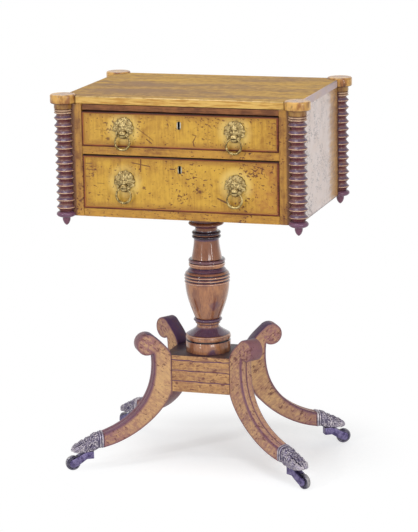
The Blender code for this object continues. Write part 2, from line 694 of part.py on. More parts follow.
def pedestal_profile(top, foot):
    """Give the pedestal's outline from its plate at top to its plinth at foot, then the tenon."""
    fixed = (PLATE_HEIGHT, TOP_COVE_HEIGHT, FLANGE_HEIGHT, UPPER_NECK_HEIGHT, PAIR_HEIGHT, TORUS_HEIGHT,
             COVE_HEIGHT, BAND_HEIGHT, VASE_HEIGHT, VASE_RING_HEIGHT, LOWER_NECK_HEIGHT, FLARE_HEIGHT,
             BASE_TORUS_HEIGHT, PLINTH_GROOVE_HEIGHT, PLINTH_HEIGHT)
    shaft_height = top - foot - sum(fixed)
    z = top
    points = [(0, z), (PLATE_RADIUS, z)]
    z -= PLATE_HEIGHT
    points += [(PLATE_RADIUS, z), (FLANGE_RADIUS, z)]
    points += [(TOP_COVE_RADIUS, z - TOP_COVE_HEIGHT / 2)]
    z -= TOP_COVE_HEIGHT
    points += [(TOP_COVE_RADIUS, z)]
    points += bulge(z, FLANGE_HEIGHT, TOP_COVE_RADIUS, FLANGE_RADIUS)
    z -= FLANGE_HEIGHT
    points.append((UPPER_NECK_RADIUS, z - UPPER_NECK_HEIGHT / 3))
    z -= UPPER_NECK_HEIGHT
    points.append((UPPER_NECK_RADIUS, z))
    for _ in range(2):
        points += bulge(z, PAIR_HEIGHT / 2, SHAFT_TOP_RADIUS, PAIR_RADIUS)
        z -= PAIR_HEIGHT / 2
    z -= shaft_height
    points.append((SHAFT_FOOT_RADIUS, z))
    points += bulge(z, TORUS_HEIGHT, COVE_TOP_RADIUS, TORUS_RADIUS)
    z -= TORUS_HEIGHT
    points.append(((COVE_TOP_RADIUS + COVE_FOOT_RADIUS) / 2 - BAND_GROOVE, z - 2 * COVE_HEIGHT / 3))
    z -= COVE_HEIGHT
    points.append((COVE_FOOT_RADIUS, z))
    for _ in range(BAND_RINGS):
        points += bulge(z, BAND_HEIGHT / BAND_RINGS, BAND_RADIUS - BAND_GROOVE, BAND_RADIUS, 2)
        z -= BAND_HEIGHT / BAND_RINGS
    vase_steps = 5
    for index in range(1, vase_steps + 1):
        share = index / vase_steps
        radius = VASE_FOOT_RADIUS + (BAND_RADIUS - VASE_FOOT_RADIUS) * math.cos(share * math.pi / 2)
        points.append((radius, z - share * VASE_HEIGHT))
    z -= VASE_HEIGHT
    points += bulge(z, VASE_RING_HEIGHT, LOWER_NECK_RADIUS, VASE_RING_RADIUS)
    z -= VASE_RING_HEIGHT + LOWER_NECK_HEIGHT
    flare_steps = 3
    for index in range(flare_steps + 1):
        share = index / flare_steps
        radius = LOWER_NECK_RADIUS + (FLARE_RADIUS - LOWER_NECK_RADIUS) * (1 - math.cos(share * math.pi / 2))
        points.append((radius, z - share * FLARE_HEIGHT))
    z -= FLARE_HEIGHT
    points += bulge(z, BASE_TORUS_HEIGHT, PLINTH_GROOVE_RADIUS, BASE_TORUS_RADIUS)
    z -= BASE_TORUS_HEIGHT + PLINTH_GROOVE_HEIGHT
    points += [(PLINTH_GROOVE_RADIUS, z), (PLINTH_RADIUS, z), (PLINTH_RADIUS, foot), (TENON_RADIUS, foot),
               (TENON_RADIUS, foot - TENON_LENGTH), (0, foot - TENON_LENGTH)]
    return drop_repeats(points)


def drop_repeats(points):
    """Give the points without any that repeats the one before it."""
    kept = [points[0]]
    for point in points[1:]:
        if math.dist(point, kept[-1]) > FIT_GAP / 10:
            kept.append(point)
    return kept


def build_pedestal():
    """Make the pedestal between the bottom board and the platform."""
    top = LOWER_BOTTOM - BOTTOM_THICKNESS - FIT_GAP
    profile = pedestal_profile(top, PLATFORM_TOP + FIT_GAP)
    place("pedestal", turned(profile, PEDESTAL_SEGMENTS), "pedestal_maple", smooth=True)


def dovetail(grow):
    """Give a leg's dovetail in the leg's own frame, grown all round by grow to cut its seat."""
    narrow = DOVETAIL_NARROW / 2 + grow
    wide = DOVETAIL_WIDE / 2 + grow
    inner = LEG_SEAT_RADIUS - DOVETAIL_LENGTH - grow
    outer = LEG_SEAT_RADIUS + LEG_THICKNESS / 4
    plan = ((inner, -wide), (LEG_SEAT_RADIUS, -narrow), (outer, -narrow),
            (outer, narrow), (LEG_SEAT_RADIUS, narrow), (inner, wide))
    upright = prism(plan, -(PLATFORM_TOP - DOVETAIL_TOP_DROP + grow), -(PLATFORM_BOTTOM - grow))
    return moved(upright, Matrix.Rotation(-math.pi / 2, 4, "X"))


def leg_turns():
    """Give the name of each leg and its turn about Z from +X."""
    return (("front_left", math.pi + LEG_ANGLE), ("front_right", -LEG_ANGLE),
            ("back_left", math.pi - LEG_ANGLE), ("back_right", LEG_ANGLE))


def build_platform():
    """Make the eight-sided platform with its mortise and the legs' dovetail seats."""
    seat = LEG_SEAT_RADIUS - FIT_GAP
    half = LEG_THICKNESS / 2
    cosine, sine = math.cos(LEG_ANGLE), math.sin(LEG_ANGLE)
    side = (seat * cosine + half * sine, seat * sine - half * cosine)
    front = (seat * cosine - half * sine, seat * sine + half * cosine)
    outline = []
    for sign_x, sign_y in ((1, 1), (-1, 1), (-1, -1), (1, -1)):
        pair = [(sign_x * x, sign_y * y) for x, y in (side, front)]
        outline += pair if sign_x * sign_y > 0 else pair[::-1]
    shape = moved(prism(outline, -PLATFORM_TOP, -PLATFORM_BOTTOM), Matrix.Rotation(-math.pi / 2, 4, "X"))
    mortise = rod(TENON_RADIUS + FIT_GAP, PLATFORM_TOP - TENON_LENGTH - FIT_GAP, PLATFORM_TOP + TENON_LENGTH,
                  PEDESTAL_SEGMENTS)
    shape = cut(shape, mortise)
    for _, turn in leg_turns():
        shape = cut(shape, moved(dovetail(FIT_GAP), Matrix.Rotation(turn, 4, "Z")))
    place("platform", shape, "leg_maple")


def leg_outline():
    """Give the three stretches of a leg's outline: back and scroll, reeded sweep, underside."""
    scroll = (SCROLL_CENTRE_RADIUS, PLATFORM_TOP + SCROLL_RISE)
    steps = 14
    curl = []
    for index in range(steps + 1):
        angle = SCROLL_START + (SCROLL_STOP - SCROLL_START) * index / steps
        curl.append((scroll[0] + SCROLL_RADIUS * math.cos(angle), scroll[1] + SCROLL_RADIUS * math.sin(angle)))
    seat_top = (LEG_SEAT_RADIUS, PLATFORM_TOP)
    back = sweep_curve(seat_top, LEG_BACK_PULLS[0], curl[0], LEG_BACK_PULLS[1], CURVE_STEPS // 2)
    notch = (LEG_NOTCH_RADIUS, curl[-1][1] - FIT_GAP)
    end_top = (LEG_END_RADIUS, LEG_END_TOP)
    end_bottom = (LEG_END_RADIUS, LEG_END_BOTTOM)
    seat_bottom = (LEG_SEAT_RADIUS, PLATFORM_BOTTOM)
    sweep = sweep_curve(notch, LEG_SWEEP_PULLS[0], end_top, LEG_SWEEP_PULLS[1])
    under = sweep_curve(end_bottom, LEG_UNDER_PULLS[0], seat_bottom, LEG_UNDER_PULLS[1])
    return back[:-1] + curl, sweep, under


def leg_shape():
    """Give a leg in its own frame: along X, upright, with two reeds on its outer edge."""
    upper, sweep, under = leg_outline()
    half = LEG_THICKNESS / 2
    across = ((-half, REED_EDGE_DEPTH), (-half / 2, 0.0), (0.0, REED_DEPTH), (half / 2, 0.0),
              (half, REED_EDGE_DEPTH))
    bm = bmesh.new()
    upper_rows = [[bm.verts.new((x, y, z)) for y in (-half, half)] for x, z in upper]
    under_rows = [[bm.verts.new((x, y, z)) for y in (-half, half)] for x, z in under]
    sweep_rows = []
    for index, (x, z) in enumerate(sweep):
        last = index == len(sweep) - 1
        along = Vector(sweep[min(index + 1, len(sweep) - 1)]) - Vector(sweep[max(index - 1, 0)])
        along.normalize()
        inward = Vector((0.0, -1.0)) if last else Vector((along.y, -along.x))
        sweep_rows.append([bm.verts.new((x + inward.x * depth, y, z + inward.y * depth))
                           for y, depth in across])
    for rows in (upper_rows, sweep_rows, under_rows):
        for row, following in zip(rows, rows[1:]):
            for index in range(len(row) - 1):
                bm.faces.new((row[index], row[index + 1], following[index + 1], following[index]))
    loop = upper_rows + sweep_rows + under_rows
    for side in (0, -1):
        bm.faces.new([row[side] for row in loop])
    bm.faces.new(upper_rows[-1] + sweep_rows[0][::-1])
    bm.faces.new(sweep_rows[-1] + under_rows[0][::-1])
    bm.faces.new(under_rows[-1] + upper_rows[0][::-1])
    middle = (LEG_END_TOP + LEG_END_BOTTOM) / 2
    tenon = block(
        (LEG_END_RADIUS - LEG_TENON_LENGTH, -LEG_TENON_WIDTH / 2, middle - LEG_TENON_HEIGHT / 2),
        (LEG_END_RADIUS + LEG_TENON_LENGTH, LEG_TENON_WIDTH / 2, middle + LEG_TENON_HEIGHT / 2))
    return join(to_mesh(bm), dovetail(0.0), tenon)


def paw_stations():
    """Give a paw's cross-sections from its collar to its tip: x, top, bottom, half width, toe depth."""
    start = LEG_END_RADIUS + FIT_GAP
    top = LEG_END_TOP + PAW_WALL
    bottom = LEG_END_BOTTOM - PAW_WALL
    half = LEG_THICKNESS / 2 + PAW_WALL
    groove = PAW_COLLAR_GROOVE
    band = PAW_COLLAR_LENGTH / 2
    stations = [
        (start, top, bottom, half, 0.0),
        (start + band - groove, top, bottom, half, 0.0),
        (start + band, top - groove, bottom + groove, half - groove, 0.0),
        (start + band + groove, top - groove / 2, bottom, half, 0.0),
        (start + 2 * band, top - 2 * groove, bottom, half - groove, 0.0),
        (start + PAW_KNUCKLE_REACH, PAW_KNUCKLE_TOP, PAW_BOTTOM, half, TOE_DEPTH / 3),
    ]
    length = PAW_TOES[-1][0]
    for x, half_width in PAW_TOES:
        drop = 1 - math.cos((x - PAW_KNUCKLE_REACH) / (length - PAW_KNUCKLE_REACH) * math.pi / 2)
        lift = PAW_TIP_LIFT if x == length else 0.0
        stations.append((start + x, PAW_KNUCKLE_TOP - (PAW_KNUCKLE_TOP - PAW_TIP_TOP) * drop,
                         PAW_BOTTOM + lift, half_width, TOE_DEPTH))
    return stations


def paw_shape():
    """Give a paw cap in its leg's frame, with its socket for the leg and its bore for the pintle."""
    points = 16
    bm = bmesh.new()
    rows = []
    for x, top, bottom, half_width, toe in paw_stations():
        middle, half_height = (top + bottom) / 2, (top - bottom) / 2
        row = []
        for index in range(points):
            angle = math.tau * index / points
            across, up = math.cos(angle), math.sin(angle)
            squareness = PAW_TOP_EXPONENT if up >= 0 else PAW_SOLE_EXPONENT
            dip = 1 - toe if index % 2 == 0 and 0 < index < points / 2 else 1.0
            y = half_width * math.copysign(abs(across) ** squareness, across) * dip
            z = middle + half_height * math.copysign(abs(up) ** squareness, up) * dip
            row.append(bm.verts.new((x, y, z)))
        rows.append(row)
    for row, following in zip(rows, rows[1:]):
        for index in range(points):
            beside = (index + 1) % points
            bm.faces.new((row[index], row[beside], following[beside], following[index]))
    bm.faces.new(rows[0])
    bm.faces.new(rows[-1])
    middle = (LEG_END_TOP + LEG_END_BOTTOM) / 2
    socket_half_y = LEG_TENON_WIDTH / 2 + FIT_GAP
    socket_half_z = LEG_TENON_HEIGHT / 2 + FIT_GAP
    reach = LEG_TENON_LENGTH + FIT_GAP
    socket = block((LEG_END_RADIUS - reach, -socket_half_y, middle - socket_half_z),
                   (LEG_END_RADIUS + reach, socket_half_y, middle + socket_half_z))
    bore = rod(PINTLE_RADIUS + PINTLE_GAP, PAW_BOTTOM - PINTLE_LENGTH, PAW_BOTTOM + PINTLE_LENGTH)
    return cut(to_mesh(bm), socket, moved(bore, Matrix.Translation((SWIVEL_RADIUS, 0, 0))))


def horn_shape():
    """Give a caster horn: a block on its pintle and an arm that forks round the wheel."""
    low = HORN_TOP - HORN_BLOCK_HEIGHT
    side = HORN_BLOCK_HALF

    def eye(degrees):
        """Give a point on the rim of the eye that holds the axle."""
        angle = math.radians(degrees)
        return (CASTER_TRAIL + HORN_EYE_RADIUS * math.cos(angle),
                WHEEL_RADIUS + HORN_EYE_RADIUS * math.sin(angle))

    rim = [eye(degrees) for degrees in range(80, -110, -36)]
    outline = [(-side, low), (-side, HORN_TOP)]
    outline += sweep_curve((side, HORN_TOP), HORN_ARM_PULLS[0], rim[0], HORN_ARM_PULLS[1], 3)
    outline += rim[1:-1]
    outline += sweep_curve(rim[-1], HORN_UNDER_PULLS[0], (side, low), HORN_UNDER_PULLS[1], 3)
    half = WHEEL_WIDTH / 2 + RUNNING_GAP + HORN_CHEEK
    slot_half = WHEEL_WIDTH / 2 + RUNNING_GAP
    to_axle = Matrix.Translation((CASTER_TRAIL, 0, WHEEL_RADIUS))
    slot = across_y(rod(WHEEL_RADIUS + WHEEL_SLOT_CLEARANCE, -slot_half, slot_half, SMALL_SEGMENTS))
    hole = across_y(rod(AXLE_RADIUS + AXLE_GAP, -2 * half, 2 * half))
    pintle = rod(PINTLE_RADIUS, HORN_TOP - PINTLE_RADIUS, HORN_TOP + PINTLE_LENGTH)
    horn = join(prism(outline, -half, half), pintle)
    return cut(horn, moved(slot, to_axle), moved(hole, to_axle))


def wheel_shape():
    """Give a caster wheel about its axle, with a flat of its rim at the floor."""
    facet = math.pi / SMALL_SEGMENTS
    rim = WHEEL_RADIUS / math.cos(facet)
    edge = rim - WHEEL_EDGE_ROUND
    half = WHEEL_WIDTH / 2
    shoulder = half - WHEEL_EDGE_ROUND
    bore = AXLE_RADIUS + AXLE_GAP
    profile = ((bore, half), (edge, half), (rim, shoulder), (rim, -shoulder), (edge, -half), (bore, -half))
    return across_y(turned(profile, SMALL_SEGMENTS, closed=True, phase=facet))


def build_stand():
    """Make the legs, paw caps and casters."""
    leg, paw, horn, wheel = leg_shape(), paw_shape(), horn_shape(), wheel_shape()
    axle_half = WHEEL_WIDTH / 2 + RUNNING_GAP + HORN_CHEEK
    axle = across_y(rod(AXLE_RADIUS, -axle_half, axle_half))
    for name, turn in leg_turns():
        place(f"{name}_leg", leg, "leg_maple", turn=turn)
        place(f"{name}_paw_cap", paw, "paw_brass", turn=turn)
        swivel = make_pivot(f"{name}_caster_swivel",
                            (SWIVEL_RADIUS * math.cos(turn), SWIVEL_RADIUS * math.sin(turn), 0), turn)
        spin = make_pivot(f"{name}_wheel_spin", (CASTER_TRAIL, 0, WHEEL_RADIUS), parent=swivel)
        place(f"{name}_caster_horn", horn, "caster_brass", parent=swivel)
        place(f"{name}_caster_wheel", wheel, "caster_brass", parent=spin, smooth=True)
        place(f"{name}_caster_axle", axle, "caster_brass", parent=spin)


clear_scene()
build_top_board()
build_case()
build_columns()
build_drawer("upper", UPPER_BOTTOM, UPPER_OPENING_HEIGHT)
build_drawer("lower", LOWER_BOTTOM, LOWER_OPENING_HEIGHT)
build_pedestal()
build_platform()
build_stand()
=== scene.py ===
"""Looks of a two-drawer maple work table on a turned pedestal with four sabre legs.

Metres, +Z up, front towards -Y, origin on the floor under the pedestal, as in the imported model.
"""

from __future__ import annotations

import json
import logging
import math
from dataclasses import dataclass, field
from enum import Enum

import bmesh
import bpy
import numpy as np
from bpy.types import Material, Mesh, Node, NodeSocket, Object
from mathutils import Matrix, Vector, noise
from mathutils.geometry import delaunay_2d_cdt

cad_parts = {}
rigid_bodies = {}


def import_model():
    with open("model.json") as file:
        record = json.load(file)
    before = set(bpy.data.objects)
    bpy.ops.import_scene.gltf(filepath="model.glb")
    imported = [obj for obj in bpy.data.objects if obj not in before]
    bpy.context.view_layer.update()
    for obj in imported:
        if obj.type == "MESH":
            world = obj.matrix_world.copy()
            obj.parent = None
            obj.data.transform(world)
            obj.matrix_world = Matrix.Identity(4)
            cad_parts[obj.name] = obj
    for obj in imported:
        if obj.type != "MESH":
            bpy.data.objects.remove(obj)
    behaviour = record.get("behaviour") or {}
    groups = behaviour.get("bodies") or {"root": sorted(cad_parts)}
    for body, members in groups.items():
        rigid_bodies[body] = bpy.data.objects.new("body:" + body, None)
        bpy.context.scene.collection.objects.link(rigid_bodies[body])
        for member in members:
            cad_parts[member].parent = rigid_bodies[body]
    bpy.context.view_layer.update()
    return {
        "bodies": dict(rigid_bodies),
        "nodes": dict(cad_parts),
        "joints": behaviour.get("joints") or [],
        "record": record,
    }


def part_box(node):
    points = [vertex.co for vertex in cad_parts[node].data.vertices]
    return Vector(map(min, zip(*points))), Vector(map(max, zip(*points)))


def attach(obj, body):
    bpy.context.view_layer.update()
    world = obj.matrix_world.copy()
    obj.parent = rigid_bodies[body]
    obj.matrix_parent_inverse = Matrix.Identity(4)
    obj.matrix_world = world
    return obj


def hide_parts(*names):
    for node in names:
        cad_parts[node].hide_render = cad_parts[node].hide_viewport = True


LOG = logging.getLogger("work_table")
Colour = tuple[float, float, float]
Place = tuple[float, float, float]
Pair = tuple[float, float]
TINY = 1e-6
QUARTER = math.pi / 2
COLUMN_X, COLUMN_Y = 0.225, 0.153       # axes of the columns, from the middle of the table
LEG_ANGLE = math.radians(33.0)          # between a leg and the front
LEG_HALF = 0.0140                       # half a leg's thickness
PLATFORM_TOP, PLATFORM_LOW = 0.2145, 0.1425
MASK_X = 0.107                          # middle of a lion mask, from the middle of the table
MASK_HEIGHTS = {"upper": 0.66935, "lower": 0.56985}
HEAD_LOW = 0.7130                       # underside of a column's head
LAST_RING_TOP = 0.5106                  # upper edge of a column's round last ring


def paint(red: int, green: int, blue: int) -> Colour:
    """Give a linear colour from screen values of 0 to 255."""
    return tuple(((v / 255 + 0.055) / 1.055) ** 2.4 if v > 10 else v / 255 / 12.92 for v in (red, green, blue))


class Fibre(Enum):
    """Which way the fibres of a board run, as the scale of its grain on each axis."""

    ALONG = (0.10, 1.0, 1.0)
    DEEP = (1.0, 0.10, 1.0)
    UP = (1.0, 1.0, 0.10)


class Corner(Enum):
    """The four corners: name, side of X, side of Y, quarter turns of its column."""

    FRONT_LEFT = ("front_left", -1, -1, 2)
    FRONT_RIGHT = ("front_right", 1, -1, 3)
    BACK_LEFT = ("back_left", -1, 1, 1)
    BACK_RIGHT = ("back_right", 1, 1, 0)

    @property
    def label(self) -> str:
        """Give the corner's name as the nodes spell it."""
        return self.value[0]

    @property
    def leg_turn(self) -> float:
        """Give the turn about Z, from +X, of the leg at this corner."""
        _, side_x, side_y, _ = self.value
        return side_y * LEG_ANGLE if side_x > 0 else math.pi - side_y * LEG_ANGLE


class NodeCanvas:
    """Short calls for adding and joining nodes of one tree."""

    def __init__(self, tree: bpy.types.NodeTree) -> None:
        """Keep the tree that the nodes go into."""
        self.tree = tree

    def feed(self, socket: NodeSocket, value: object) -> None:
        """Join a socket to another one, or set its value.

        Args:
            socket: the input to feed.
            value: an output socket, a number, a text, a colour or a vector.
        """
        if isinstance(value, NodeSocket):
            self.tree.links.new(value, socket)
        elif socket.type == "RGBA" and len(value) == 3:
            socket.default_value = (*value, 1.0)
        else:
            socket.default_value = value

    def node(self, kind: str, feeds: dict | None = None, **settings: object) -> Node:
        """Add a node.

        Args:
            kind: the node's type name.
            feeds: inputs by name or index.
            settings: properties that are set before the inputs.

        Returns:
            The new node.
        """
        node = self.tree.nodes.new(kind)
        for name, value in settings.items():
            setattr(node, name, value)
        for key, value in (feeds or {}).items():
            self.feed(node.inputs[key], value)
        return node

    def math(self, operation: str, first: object, second: object = 0.0, clamp: bool = False) -> NodeSocket:
        """Give the result of one sum on two numbers."""
        return self.node("ShaderNodeMath", {0: first, 1: second}, operation=operation, use_clamp=clamp).outputs[0]

    def vector(self, operation: str, first: object, second: object = (0, 0, 0)) -> NodeSocket:
        """Give the result of one sum on two vectors, a number where the sum gives one."""
        node = self.node("ShaderNodeVectorMath", {0: first, 1: second}, operation=operation)
        return node.outputs["Value" if operation in ("DISTANCE", "DOT_PRODUCT") else "Vector"]

    def scaled(self, vector: object, amount: object) -> NodeSocket:
        """Give a vector times a number."""
        return self.node("ShaderNodeVectorMath", {0: vector, "Scale": amount}, operation="SCALE").outputs[0]

    def span(self, value: object, low: float, high: float, first: float = 0.0, last: float = 1.0) -> NodeSocket:
        """Give a smooth step of a value from first at low to last at high."""
        feeds = {"Value": value, "From Min": low, "From Max": high, "To Min": first, "To Max": last}
        return self.node("ShaderNodeMapRange", feeds, interpolation_type="SMOOTHSTEP").outputs[0]


class FormTree(NodeCanvas):
    """A geometry tree that makes a plain mesh from its named inputs."""

    def __init__(self, name: str, inputs: dict[str, str]) -> None:
        """Make the tree with its sockets.

        Args:
            name: the tree's name.
            inputs: socket kinds by label; the first is the geometry that the tree starts from.
        """
        super().__init__(bpy.data.node_groups.new(name, "GeometryNodeTree"))
        self.keys: dict[str, str] = {}
        for label, kind in inputs.items():
            socket = self.tree.interface.new_socket(name=label, in_out="INPUT", socket_type=f"NodeSocket{kind}")
            self.keys[label] = socket.identifier
        self.tree.interface.new_socket(name="Form", in_out="OUTPUT", socket_type="NodeSocketGeometry")
        self.source = self.tree.nodes.new("NodeGroupInput")

    def given(self, label: str) -> NodeSocket:
        """Give the socket of a named input."""
        return self.source.outputs[label]

    def count(self, geometry: NodeSocket) -> NodeSocket:
        """Give how many points a geometry has."""
        return self.node("GeometryNodeAttributeDomainSize", {"Geometry": geometry}).outputs["Point Count"]

    def named(self, name: str, kind: str) -> NodeSocket:
        """Give a named attribute."""
        return self.node("GeometryNodeInputNamedAttribute", {"Name": name}, data_type=kind).outputs["Attribute"]

    def sampled(self, geometry: NodeSocket, value: NodeSocket, index: NodeSocket, kind: str) -> NodeSocket:
        """Give a value read from one point of a geometry."""
        feeds = {"Geometry": geometry, "Value": value, "Index": index}
        return self.node("GeometryNodeSampleIndex", feeds, data_type=kind, domain="POINT").outputs[0]

    def spot(self, geometry: NodeSocket, index: NodeSocket) -> NodeSocket:
        """Give the place of one point of a geometry."""
        return self.sampled(geometry, self.node("GeometryNodeInputPosition").outputs[0], index, "FLOAT_VECTOR")

    def stuff(self, label: str) -> NodeSocket:
        """Give the geometry of an object input."""
        return self.node("GeometryNodeObjectInfo", {"Object": self.given(label)}).outputs["Geometry"]

    def woven(self, columns: object, rows: object) -> tuple[NodeSocket, NodeSocket, NodeSocket]:
        """Make a sheet of points to be moved into shape.

        Args:
            columns: points one way.
            rows: points the other way.

        Returns:
            The sheet, and the column and row of each of its points.
        """
        sheet = self.node("GeometryNodeMeshGrid", {"Vertices X": columns, "Vertices Y": rows}).outputs["Mesh"]
        index = self.node("GeometryNodeInputIndex").outputs[0]
        column = self.math("FLOOR", self.math("DIVIDE", self.math("ADD", index, 0.5), rows))
        return sheet, column, self.math("SUBTRACT", index, self.math("MULTIPLY", column, rows))

    def shape(self, sheet: NodeSocket, spot: NodeSocket) -> None:
        """End the tree with a sheet whose points are moved, and merged where they meet."""
        moved = self.node("GeometryNodeSetPosition", {"Geometry": sheet, "Position": spot}).outputs[0]
        self.close(self.node("GeometryNodeMergeByDistance", {"Geometry": moved, "Distance": TINY}).outputs[0])

    def close(self, geometry: NodeSocket) -> None:
        """End the tree: realize what is instanced and set the finish.

        Args:
            geometry: what the tree has made.
        """
        real = self.node("GeometryNodeRealizeInstances", {"Geometry": geometry}).outputs[0]
        done = self.node("GeometryNodeSetMaterial", {"Geometry": real, "Material": self.given("Finish")})
        self.tree.links.new(done.outputs[0], self.tree.nodes.new("NodeGroupOutput").inputs[0])

    def run(self, mesh: Mesh, **inputs: object) -> Mesh:
        """Make the form once.

        Args:
            mesh: the geometry that the tree starts from.
            inputs: values by label, with a mesh for an object input.

        Returns:
            The form as a plain mesh.
        """
        carrier = linked("form", mesh)
        helpers: list[Object] = []
        modifier = carrier.modifiers.new("form", "NODES")
        modifier.node_group = self.tree
        for label, value in inputs.items():
            if isinstance(value, Mesh):
                value = linked("helper", value)
                helpers.append(value)
            modifier[self.keys[label]] = value
        result = evaluated(carrier)
        carrier.modifiers.remove(modifier)
        drop(carrier, *helpers)
        return result


class TurnedForm(FormTree):
    """Turns an outline of (radius, 0, height) points about Z, and keeps its shade."""

    def __init__(self) -> None:
        """Build the tree."""
        super().__init__("turned_form", {"Profile": "Geometry", "Segments": "Int", "Finish": "Material"})
        profile, segments = self.given("Profile"), self.given("Segments")
        sheet, column, row = self.woven(self.math("ADD", segments, 1.0), self.count(profile))
        where = self.node("ShaderNodeSeparateXYZ", {0: self.spot(profile, row)}).outputs
        shade = self.sampled(profile, self.named("shade", "FLOAT"), row, "FLOAT")
        angle = self.math("MULTIPLY", self.math("DIVIDE", column, segments), math.tau)
        spot = self.node("ShaderNodeCombineXYZ", {
            "X": self.math("MULTIPLY", where["X"], self.math("COSINE", angle)),
            "Y": self.math("MULTIPLY", where["X"], self.math("SINE", angle)), "Z": where["Z"]}).outputs[0]
        stored = self.node("GeometryNodeStoreNamedAttribute",
                           {"Geometry": sheet, "Name": "shade", "Value": shade}, data_type="FLOAT", domain="POINT")
        self.shape(stored.outputs[0], spot)


class SweptForm(FormTree):
    """Sweeps a section of (across, up) points along a path that says which way both lie."""

    def __init__(self) -> None:
        """Build the tree."""
        super().__init__("swept_form", {"Path": "Geometry", "Section": "Object", "Finish": "Material"})
        path, section = self.given("Path"), self.stuff("Section")
        sheet, column, row = self.woven(self.count(path), self.count(section))
        place = self.node("ShaderNodeSeparateXYZ", {0: self.spot(section, row)}).outputs
        spot = self.spot(path, column)
        for name, axis in (("across", "X"), ("up", "Y")):
            lean = self.sampled(path, self.named(name, "FLOAT_VECTOR"), column, "FLOAT_VECTOR")
            spot = self.vector("ADD", spot, self.scaled(lean, place[axis]))
        self.shape(sheet, spot)


class RepeatedForm(FormTree):
    """Sets a unit on every point, turned and grown as the point says, with a little fixed chance."""

    def __init__(self) -> None:
        """Build the tree."""
        super().__init__("repeated_form", {"Points": "Geometry", "Unit": "Object", "Chance": "Float",
                                           "Seed": "Int", "Finish": "Material"})
        turn = self.node("FunctionNodeEulerToRotation", {0: self.named("turn", "FLOAT_VECTOR")}).outputs[0]
        chance = self.given("Chance")
        random = self.node("FunctionNodeRandomValue", {
            "Min": self.math("SUBTRACT", 1.0, chance), "Max": self.math("ADD", 1.0, chance),
            "Seed": self.given("Seed")}, data_type="FLOAT")
        lucky = next(socket for socket in random.outputs if socket.enabled)
        grow = self.scaled(self.named("grow", "FLOAT_VECTOR"), lucky)
        units = self.node("GeometryNodeInstanceOnPoints", {
            "Points": self.given("Points"), "Instance": self.stuff("Unit"), "Rotation": turn, "Scale": grow})
        self.close(units.outputs[0])


def linked(name: str, data: object) -> Object:
    """Put a new object into the scene.

    Args:
        name: its name.
        data: its mesh, lamp or camera.

    Returns:
        The object.
    """
    obj = bpy.data.objects.new(name, data)
    bpy.context.scene.collection.objects.link(obj)
    return obj


def evaluated(obj: Object) -> Mesh:
    """Give an object's mesh with its modifiers applied."""
    return bpy.data.meshes.new_from_object(obj.evaluated_get(bpy.context.evaluated_depsgraph_get()))


def drop(*objects: Object) -> None:
    """Take objects out of the scene again."""
    for obj in objects:
        bpy.data.objects.remove(obj, do_unlink=True)


def new_mesh(points: object, faces: object = ()) -> Mesh:
    """Make a mesh.

    Args:
        points: rows of three coordinates.
        faces: rows of point numbers, or nothing for loose points.

    Returns:
        The mesh.
    """
    mesh = bpy.data.meshes.new("form")
    mesh.from_pydata([tuple(point) for point in points], [], [tuple(face) for face in faces])
    return mesh


def point_mesh(points: object, **data: object) -> Mesh:
    """Make a mesh of loose points with named values on them.

    Args:
        points: rows of three coordinates.
        data: numbers or vectors by name, one for each point.

    Returns:
        The mesh.
    """
    mesh = new_mesh(points)
    for name, values in data.items():
        set_values(mesh, name, np.asarray(values, dtype=np.float32))
    return mesh


def set_values(mesh: Mesh, name: str, values: np.ndarray) -> None:
    """Store a number or a vector on every vertex.

    Args:
        mesh: the mesh.
        name: the values' name.
        values: one number or row for each vertex.
    """
    kind, key = ("FLOAT_VECTOR", "vector") if values.ndim == 2 else ("FLOAT", "value")
    layer = mesh.attributes.new(name, kind, "POINT")
    layer.data.foreach_set(key, values.astype(np.float32).ravel())


def coordinates(mesh: Mesh) -> np.ndarray:
    """Give where a mesh's vertices are, as rows of three coordinates."""
    return np.array([vertex.co for vertex in mesh.vertices], dtype=np.float32)


def upright(points: np.ndarray) -> np.ndarray:
    """Give (x, z) rows as (x, 0, z) rows."""
    return np.column_stack([points[:, 0], np.zeros(len(points)), points[:, 1]])


def sealed(mesh: Mesh, fill: bool = False) -> Mesh:
    """Close a mesh and point its faces out.

    Args:
        mesh: the mesh, which is changed.
        fill: whether open ends get a face.

    Returns:
        The same mesh.
    """
    bm = bmesh.new()
    bm.from_mesh(mesh)
    bmesh.ops.remove_doubles(bm, verts=bm.verts, dist=TINY)
    bmesh.ops.dissolve_degenerate(bm, edges=bm.edges, dist=TINY)
    if fill:
        bmesh.ops.holes_fill(bm, edges=bm.edges, sides=0)
    bmesh.ops.recalc_face_normals(bm, faces=bm.faces)
    bm.to_mesh(mesh)
    bm.free()
    return mesh


def soften(mesh: Mesh) -> Mesh:
    """Shade every face smoothly except those that lie square to an axis.

    Args:
        mesh: the mesh, which is changed.

    Returns:
        The same mesh.
    """
    for face in mesh.polygons:
        face.use_smooth = max(abs(value) for value in face.normal) < 0.9999
    return mesh


def creased(mesh: Mesh, degrees: float) -> Mesh:
    """Shade a mesh smoothly, with its sharp edges left crisp.

    Args:
        mesh: the mesh, which is changed.
        degrees: the angle past which an edge is sharp.

    Returns:
        The same mesh.
    """
    mesh.shade_smooth()
    mesh.set_sharp_from_angle(angle=math.radians(degrees))
    return mesh


def merged(*meshes: Mesh) -> Mesh:
    """Join meshes into one, with their values.

    Args:
        meshes: the meshes.

    Returns:
        The first of them, which has taken up the rest.
    """
    objects = [linked("part", mesh) for mesh in meshes]
    with bpy.context.temp_override(active_object=objects[0], selected_editable_objects=objects, object=objects[0]):
        bpy.ops.object.join()
    mesh = objects[0].data
    drop(objects[0])
    return mesh


